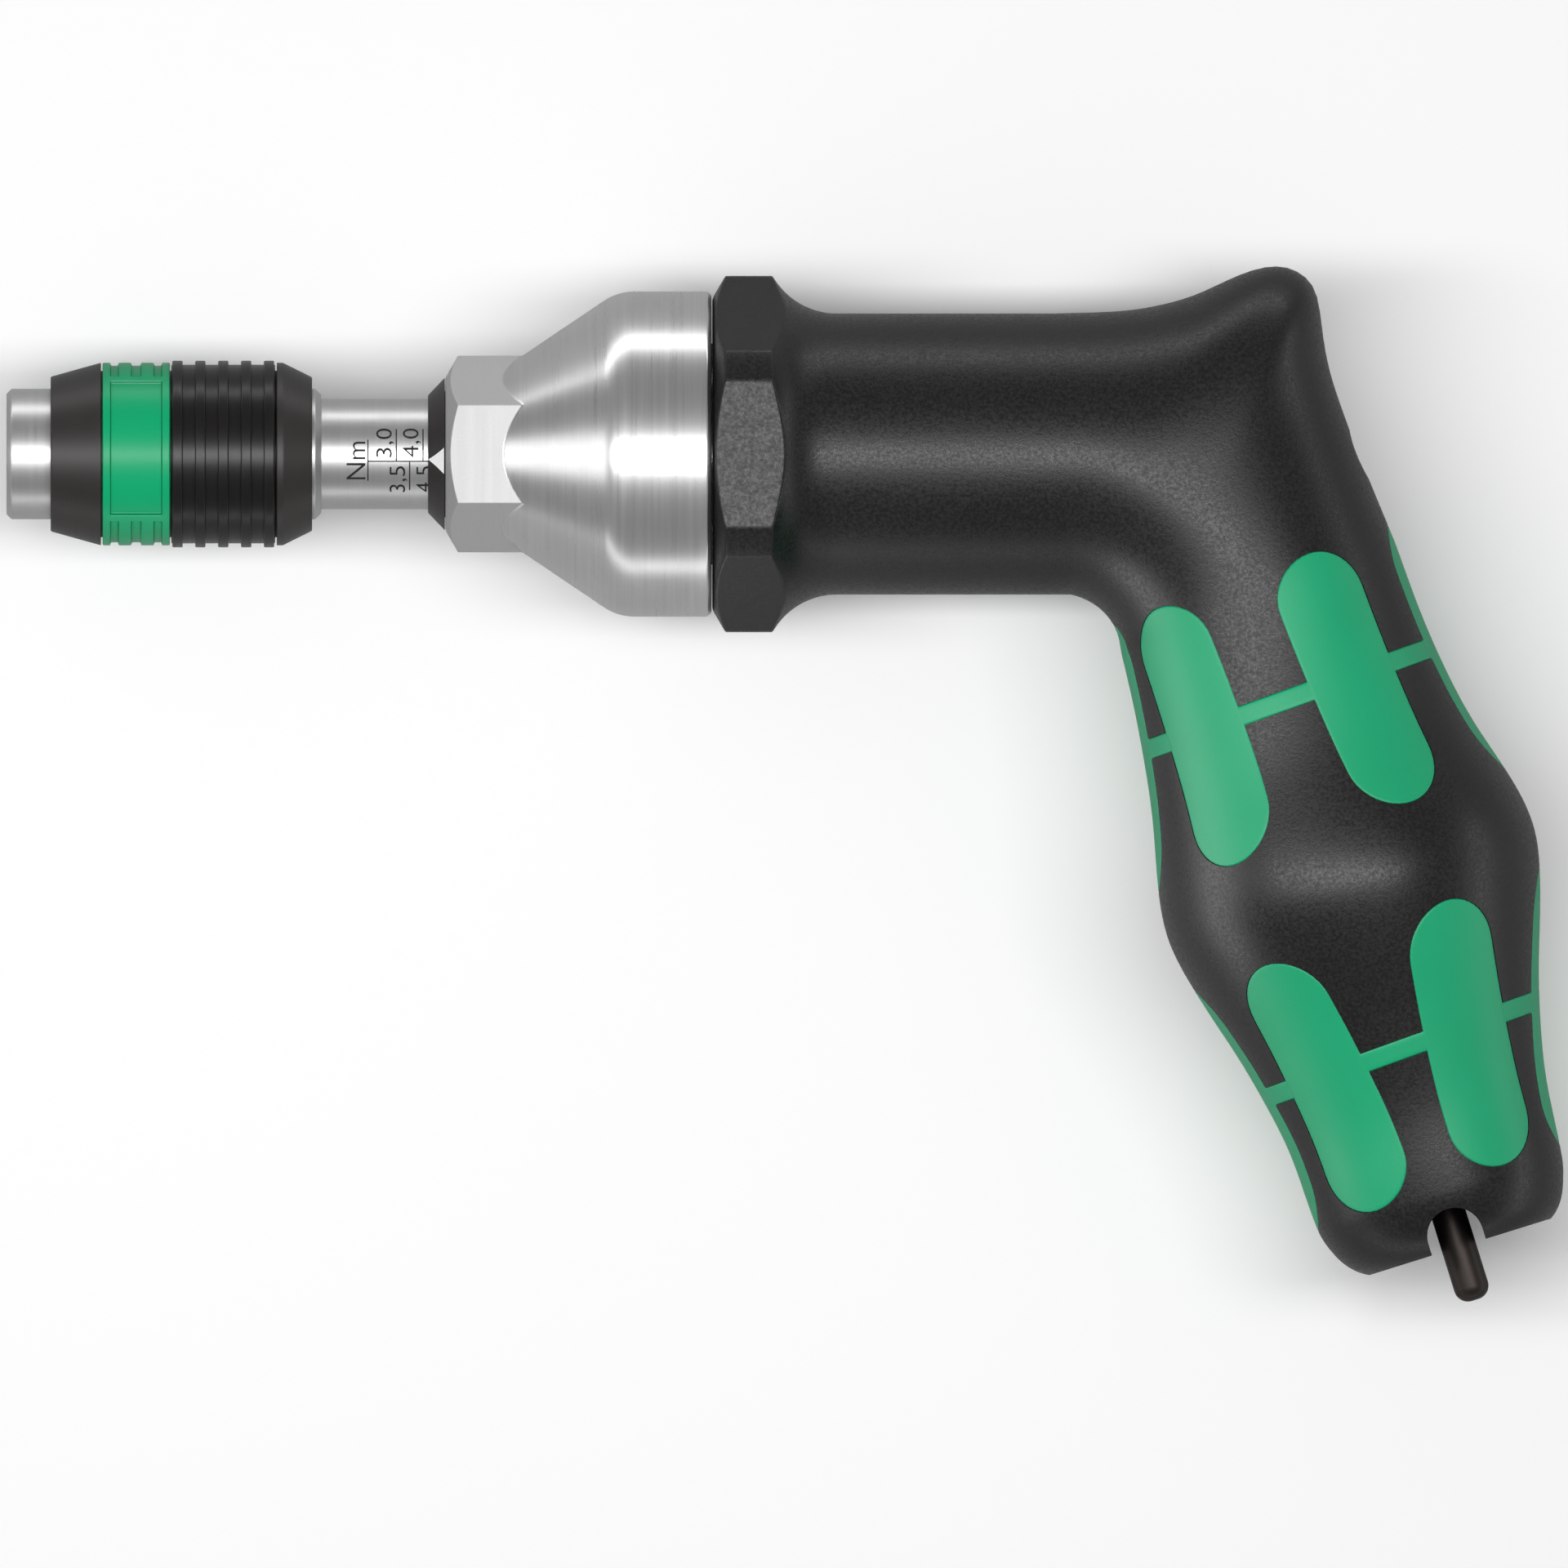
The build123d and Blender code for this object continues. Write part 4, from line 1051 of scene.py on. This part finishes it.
def elbow_hoop(share, angles):
    """A ring of points across the elbow, from the tube at 0 to the grip's top at 1."""
    angle = 90 + (grip_tilt - 90) * share
    radius = tube_radius + (grip_top_radius - tube_radius) * share
    gap = crotch_gap[0] + (crotch_gap[1] - crotch_gap[0]) * share
    outward = np.array((math.cos(math.radians(angle)), math.sin(math.radians(angle)), 0.0))
    across = np.cos(angles) * np.where(np.cos(angles) > 0, radius + hump_rise(angle), radius)
    centre = crotch + outward * (gap + radius)
    return centre + across[:, None] * outward + (radius * np.sin(angles))[:, None] * UP


def handle_rows():
    """Rows of points over the handle: inside, flange, tube, elbow and grip, down to its butt."""
    angles = around(1.25, range(0, 360, 60), (5.1, 5.5, 5.9))
    corner_limit = np.full(angles.shape, flange_corner_radius)
    flange = soft_min(hexagon(flange_half_width, angles), corner_limit, 0.12)
    flare_axis = tube_radius + flare_radius

    def flange_row(place):
        chamfer = flange_front_radius + (place - handle_front) * flange_chamfer_slope
        into_flare = flare_back - place
        flare = flare_axis - np.sqrt(np.maximum(flare_radius**2 - np.maximum(into_flare, 0) ** 2, 0))
        behind = np.where(into_flare < flare_radius, flare, 2 * flange_corner_radius)
        return hoop(place, soft_min(flange, np.where(place < flange_middle, chamfer, behind), 0.25), angles)

    chamfer_end = handle_front + (flange - flange_front_radius) / flange_chamfer_slope
    flare_start = flare_back - np.sqrt(flare_radius**2 - (flare_axis - flange) ** 2)
    deep, middle, shallow = insert_steps
    rows = hoops((
        (deep[0], deep[1] * 0.15), deep, (middle[0], deep[1]), middle, (shallow[0], middle[1]), shallow,
        (handle_front, shallow[1]), (handle_front, flange_front_radius - 0.25),
        (handle_front + 0.03, flange_front_radius - 0.06),
    ), angles)
    rows += [flange_row(handle_front + (chamfer_end - handle_front) * share) for share in (0.15, 0.5, 0.8)]
    rows += [flange_row(chamfer_end + offset) for offset in (-0.1, -0.04, 0.02, 0.08, 0.16, 0.3)]
    rows += [flange_row(chamfer_end + 0.3 + (flare_start - chamfer_end - 0.6) * share)
             for share in (0.2, 0.4, 0.6, 0.8, 1.0)]
    rows += [flange_row(flare_start + offset) for offset in (-0.16, -0.08, -0.02, 0.04, 0.12, 0.22)]
    first_turn = np.arcsin((flare_back - flare_start - 0.22) / flare_radius)
    for share in np.linspace(0, 1, 15)[1:]:
        turn = first_turn * (1 - share)
        radius = flare_axis - flare_radius * np.cos(turn)
        rows.append(hoop(flare_back - flare_radius * np.sin(turn), radius, angles))
    rows += [hoop(place, tube_radius, angles) for place in np.linspace(flare_back, tube_back, 16)[1:-1]]
    rows += [elbow_hoop(share, angles) for share in np.linspace(0, 1, 57)]
    straight_end = grip_length - edge_length
    rows += [grip_hoop(distance, grip_radius(distance), angles, grip_shift(distance))
             for distance in np.linspace(0, straight_end, 90)[1:]]
    edge_width = edge_width_rear + (edge_width_front - edge_width_rear) * (1 - np.cos(angles)) / 2
    edge_depth = 1 - math.sqrt(1 - edge_arc**2)
    for into_edge in np.sin(np.radians(np.linspace(0, 90, 25)[1:])):
        distance = straight_end + edge_length * into_edge
        drawn_in = edge_width * (1 - math.sqrt(1 - (edge_arc * into_edge) ** 2)) / edge_depth
        radius = grip_radius(min(distance, grip_length - butt_edge)) - drawn_in
        rows.append(grip_hoop(distance, radius, angles, grip_shift(distance)))
    rows += [grip_hoop(grip_length, radius, angles) for radius in (6.0, 3.0, 0.5)]
    return rows


pad_end_steps = 20
pad_side_steps = 22
pad_fold = pad_end_steps // 2


def stadium(length, width):
    """Points round a round-ended bar."""
    half, radius = (length - width) / 2, width / 2
    points = []
    for side in (1, -1):
        for turn in np.radians(np.linspace(-90, 90, pad_end_steps, endpoint=False)):
            points.append((side * (half + radius * math.cos(turn)), side * radius * math.sin(turn)))
        for share in np.linspace(1, -1, pad_side_steps, endpoint=False):
            points.append((side * half * share, side * radius))
    return np.array(points)


def surface_point(tree, start, inward):
    """Where a line from outside first meets the handle."""
    hit = tree.ray_cast(Vector(start * MM), Vector(inward))[0]
    if hit is None:
        raise ValueError("an inlay runs off the handle")
    return np.array(hit) / MM


def pad_rows(tree, middle, angle, turn, lift):
    """Rows of points for one pad: its crown, rim, wall and underside. Lifted, it cuts the pad's pocket."""
    outward = row_rear * math.cos(math.radians(angle)) + UP * math.sin(math.radians(angle))
    side = np.cross(outward, row_down)
    along = row_down * math.cos(math.radians(turn)) + side * math.sin(math.radians(turn))
    across = np.cross(outward, along)
    centre = grip_top + grip_down * middle + outward * cast_reach
    rows = []
    for inset, sunk in pad_crown:
        outline = stadium(pad_length - 2 * inset, pad_width - 2 * inset)
        hits = [surface_point(tree, centre + along * u + across * v, -outward) for u, v in outline]
        rows.append(np.array(hits) + outward * (lift - (0 if lift else sunk)))
    rim = rows[-1] - outward * (lift - (0 if lift else pad_crown[-1][1]))
    rows.append(rim - outward * inlay_depth)
    under = [row - outward * (lift + inlay_depth) for row in (rows[5], rows[2], rows[0])]
    return rows + under


def band_rows(tree, middle, lift):
    """Rows of points for the band that joins the pads. Lifted, it cuts the band's channel."""
    centre = grip_top + grip_down * middle
    rows = []
    for offset, sunk in band_crown:
        row = []
        for turn in around(1.5):
            outward = row_rear * math.cos(turn) + UP * math.sin(turn)
            start = centre + row_down * offset * band_width / 2 + outward * cast_reach
            row.append(surface_point(tree, start, -outward) + outward * (lift - (0 if lift else sunk)))
        rows.append(np.array(row))
    for edge in (rows[-1], rows[0]):
        inward = centre - edge
        inward -= np.outer(inward @ row_down, row_down)
        inward /= np.linalg.norm(inward, axis=1)[:, None]
        rows.append(edge + inward * (inlay_depth + lift))
    return rows


def make_handle():
    """Handle moulding with the pockets of its inlays, and the inlays that fill them."""
    shell = skin("handle_moulding", handle_rows())
    surface = bmesh.new()
    surface.from_mesh(shell.data)
    tree = BVHTree.FromBMesh(surface)
    surface.free()
    cutters = []
    for name, node, (middle, band_middle, pads) in (
        ("upper_inlay", "grip_inlay_upper", upper_row), ("lower_inlay", "grip_inlay_lower", lower_row),
    ):
        inlay, channel = [skin(title, band_rows(tree, band_middle, lift), closed=True)
                          for title, lift in ((name, 0.0), ("band_cutter", 1.0))]
        filled, pockets = [[skin(title, pad_rows(tree, middle, angle, turn, lift), fold=pad_fold)
                            for angle, turn in pads] for title, lift in (("pad", 0.0), ("pad_cutter", 1.0))]
        cutters += [channel, *pockets]
        carve(inlay, filled, "UNION")
        placed(inlay, green_soft, "handle", [node])
    turns = around(10.0)
    cutters.append(skin("access_bore", [hoop(place, access_radius, turns) for place in access_reach]))
    front, back, ring_groove_radius = key_ring_groove
    for title, radius, reach in (("key_bore", key_bore_radius, (key_bore_start, grip_length + 2)),
                                 ("key_ring_bore", ring_groove_radius, (front, back))):
        cutters.append(skin(title, [grip_hoop(distance, radius, turns, key_offset) for distance in reach]))
    slot = stadium(2 * notch_depth, notch_width)
    end = grip_top + grip_down * grip_length + grip_rear * key_offset
    sides = [end + slot[:, :1] * grip_down + slot[:, 1:] * grip_rear + UP * height
             for height in (-notch_reach, notch_reach)]
    cutters.append(skin("notch_cutter", sides))
    carve(shell, cutters)
    placed(shell, handle_plastic, "handle", ["handle_shell"])


def make_key():
    """Setting key: a rod with a rounded end and a hexagon at its other end."""
    angles = around(5.0, range(0, 360, 60), (0.5, 1.2))
    flats = hexagon(key_hexagon_half_width, angles, 0.04)
    outline = [(key_start, 0.4), (key_start, flats - 0.15), (key_start + 0.15, flats),
               (key_hexagon_end - 0.01, flats), (key_hexagon_end, key_radius - 0.15)]
    outline += [(distance, key_radius)
                for distance in np.linspace(key_hexagon_end + 0.15, key_end - key_rounding, 8)]
    outline += [(key_end - key_rounding + key_rounding * math.sin(turn),
                 key_radius - key_rounding * (1 - math.cos(turn)))
                for turn in np.radians(np.linspace(0, 90, 9)[1:])]
    outline.append((key_end, 0.1))
    rows = [grip_hoop(distance, radius, angles, key_offset) for distance, radius in outline]
    placed(skin("setting_key_rod", rows), blackened_rod, "setting_key", ["setting_key"])


# Nodes that keep their own meshes

def dress_inner_nodes():
    """Gives the inner pieces of the CAD their finishes."""
    for finish, names in (
        (ground_steel, "release_sleeve setting_screw"), (spring_wire, "release_spring main_spring"),
        (magnet_plate, "bit_magnet"), (bush_bronze, "spindle_bush"), (housing_metal, "handle_insert"),
        (black_rubber, "key_ring"),
        (dark_steel, "sleeve_ring locking_ball_upper locking_ball_lower detent_plate clutch_balls"
                     " clutch_plate spring_washer spring_seat seat_ring thrust_ball thrust_nut screw_washer"),
    ):
        for name in names.split():
            for material_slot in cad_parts[name].material_slots:
                material_slot.material = finish


# Studio

def make_floor():
    """A pale floor that keeps the shadow and looks near white."""
    lowest = cad_box[0][2]
    mesh = bpy.data.meshes.new("studio_floor")
    reach = 2.5
    corners = [(x * reach, y * reach, lowest) for x, y in ((-1, -1), (1, -1), (1, 1), (-1, 1))]
    mesh.from_pydata(corners, [], [(0, 1, 2, 3)])
    floor = shown("studio_floor", mesh)
    finish = Finish("studio_floor_paint", Roughness=0.9, Specular_IOR_Level=0.1)
    seen = finish.amount("LightPath", output="Is Camera Ray")
    mirrored = finish.amount("LightPath", output="Is Glossy Ray")
    cloud = finish.noise(3.0, 2.0, 0.5)
    paint = finish.between(cloud, 0.88, 0.92) - mirrored * 0.45
    black = (0.0, 0.0, 0.0)
    finish.dress(Base_Color=finish.colour(black, (1.0, 1.0, 1.0), paint),
                 Emission_Color=finish.colour(black, (0.1, 0.1, 0.1), seen))
    finish.shader.inputs["Emission Strength"].default_value = 1.0
    floor.data.materials.append(finish.material)


def add_lamp(name, place, target, size, power, only_mirrored=False):
    """A rectangular soft lamp that faces a point. A lamp that is only mirrored adds no light of its own."""
    lamp = bpy.data.lights.new(name, "AREA")
    lamp.shape = "RECTANGLE"
    lamp.size, lamp.size_y = size
    lamp.energy = power
    holder = bpy.data.objects.new(name, lamp)
    holder.location = place
    holder.rotation_euler = (Vector(target) - Vector(place)).to_track_quat("-Z", "Y").to_euler()
    holder.visible_camera = False
    holder.visible_diffuse = not only_mirrored
    bpy.context.scene.collection.objects.link(holder)


def make_studio():
    """One soft lamp above, cards that only show mirrored, a plain world and the photograph's camera."""
    add_lamp("top_softbox", (-0.02, -0.01, 0.5), (-0.02, -0.02, 0.0), (0.9, 0.1), 3.0)
    for name, place, target, size, power in (
        ("front_card", (-0.45, -0.01, 0.19), (0.05, -0.01, 0.0), (0.22, 0.2), 0.27),
        ("back_card", (0.0, 0.45, 0.03), (0.0, 0.0, 0.0), (1.0, 0.08), 1.0),
        ("side_card", (0.05, -0.45, 0.03), (0.05, 0.0, 0.0), (1.0, 0.08), 0.45),
        ("grip_front_card", (0.0585, -0.0675, 0.014), (0.157, -0.085, 0.014), (0.09, 0.028), 0.028),
        ("grip_rear_card", (0.75, -0.08, 0.04), (0.14, -0.06, 0.0), (0.8, 0.08), 0.8),
    ):
        add_lamp(name, place, target, size, power, only_mirrored=True)
    world = bpy.data.worlds.new("studio_world")
    bpy.context.scene.world = world
    world.use_nodes = True
    background = world.node_tree.nodes["Background"]
    light_path = world.node_tree.nodes.new("ShaderNodeLightPath")
    shade = world.node_tree.nodes.new("ShaderNodeMix")
    shade.data_type = "RGBA"
    shade.inputs[6].default_value = (0.22, 0.22, 0.22, 1.0)
    shade.inputs[7].default_value = (0.28, 0.28, 0.28, 1.0)
    world.node_tree.links.new(light_path.outputs["Is Glossy Ray"], shade.inputs[0])
    world.node_tree.links.new(shade.outputs[2], background.inputs["Color"])
    camera = bpy.data.cameras.new("camera")
    camera.type = "ORTHO"
    camera.ortho_scale = 0.1562
    camera.clip_end = 10.0
    holder = bpy.data.objects.new("camera", camera)
    holder.location = (0.07746, -0.03287, 1.0)
    bpy.context.scene.collection.objects.link(holder)
    bpy.context.scene.camera = holder
    bpy.context.scene.view_settings.view_transform = "Standard"


row_of_pieces = row_growth()
make_spindle()
make_cones()
make_green_ring()
make_ribbed_ring(row_of_pieces)
make_pointer()
make_scale(row_of_pieces)
make_housing()
make_handle()
make_key()
dress_inner_nodes()
make_floor()
make_studio()
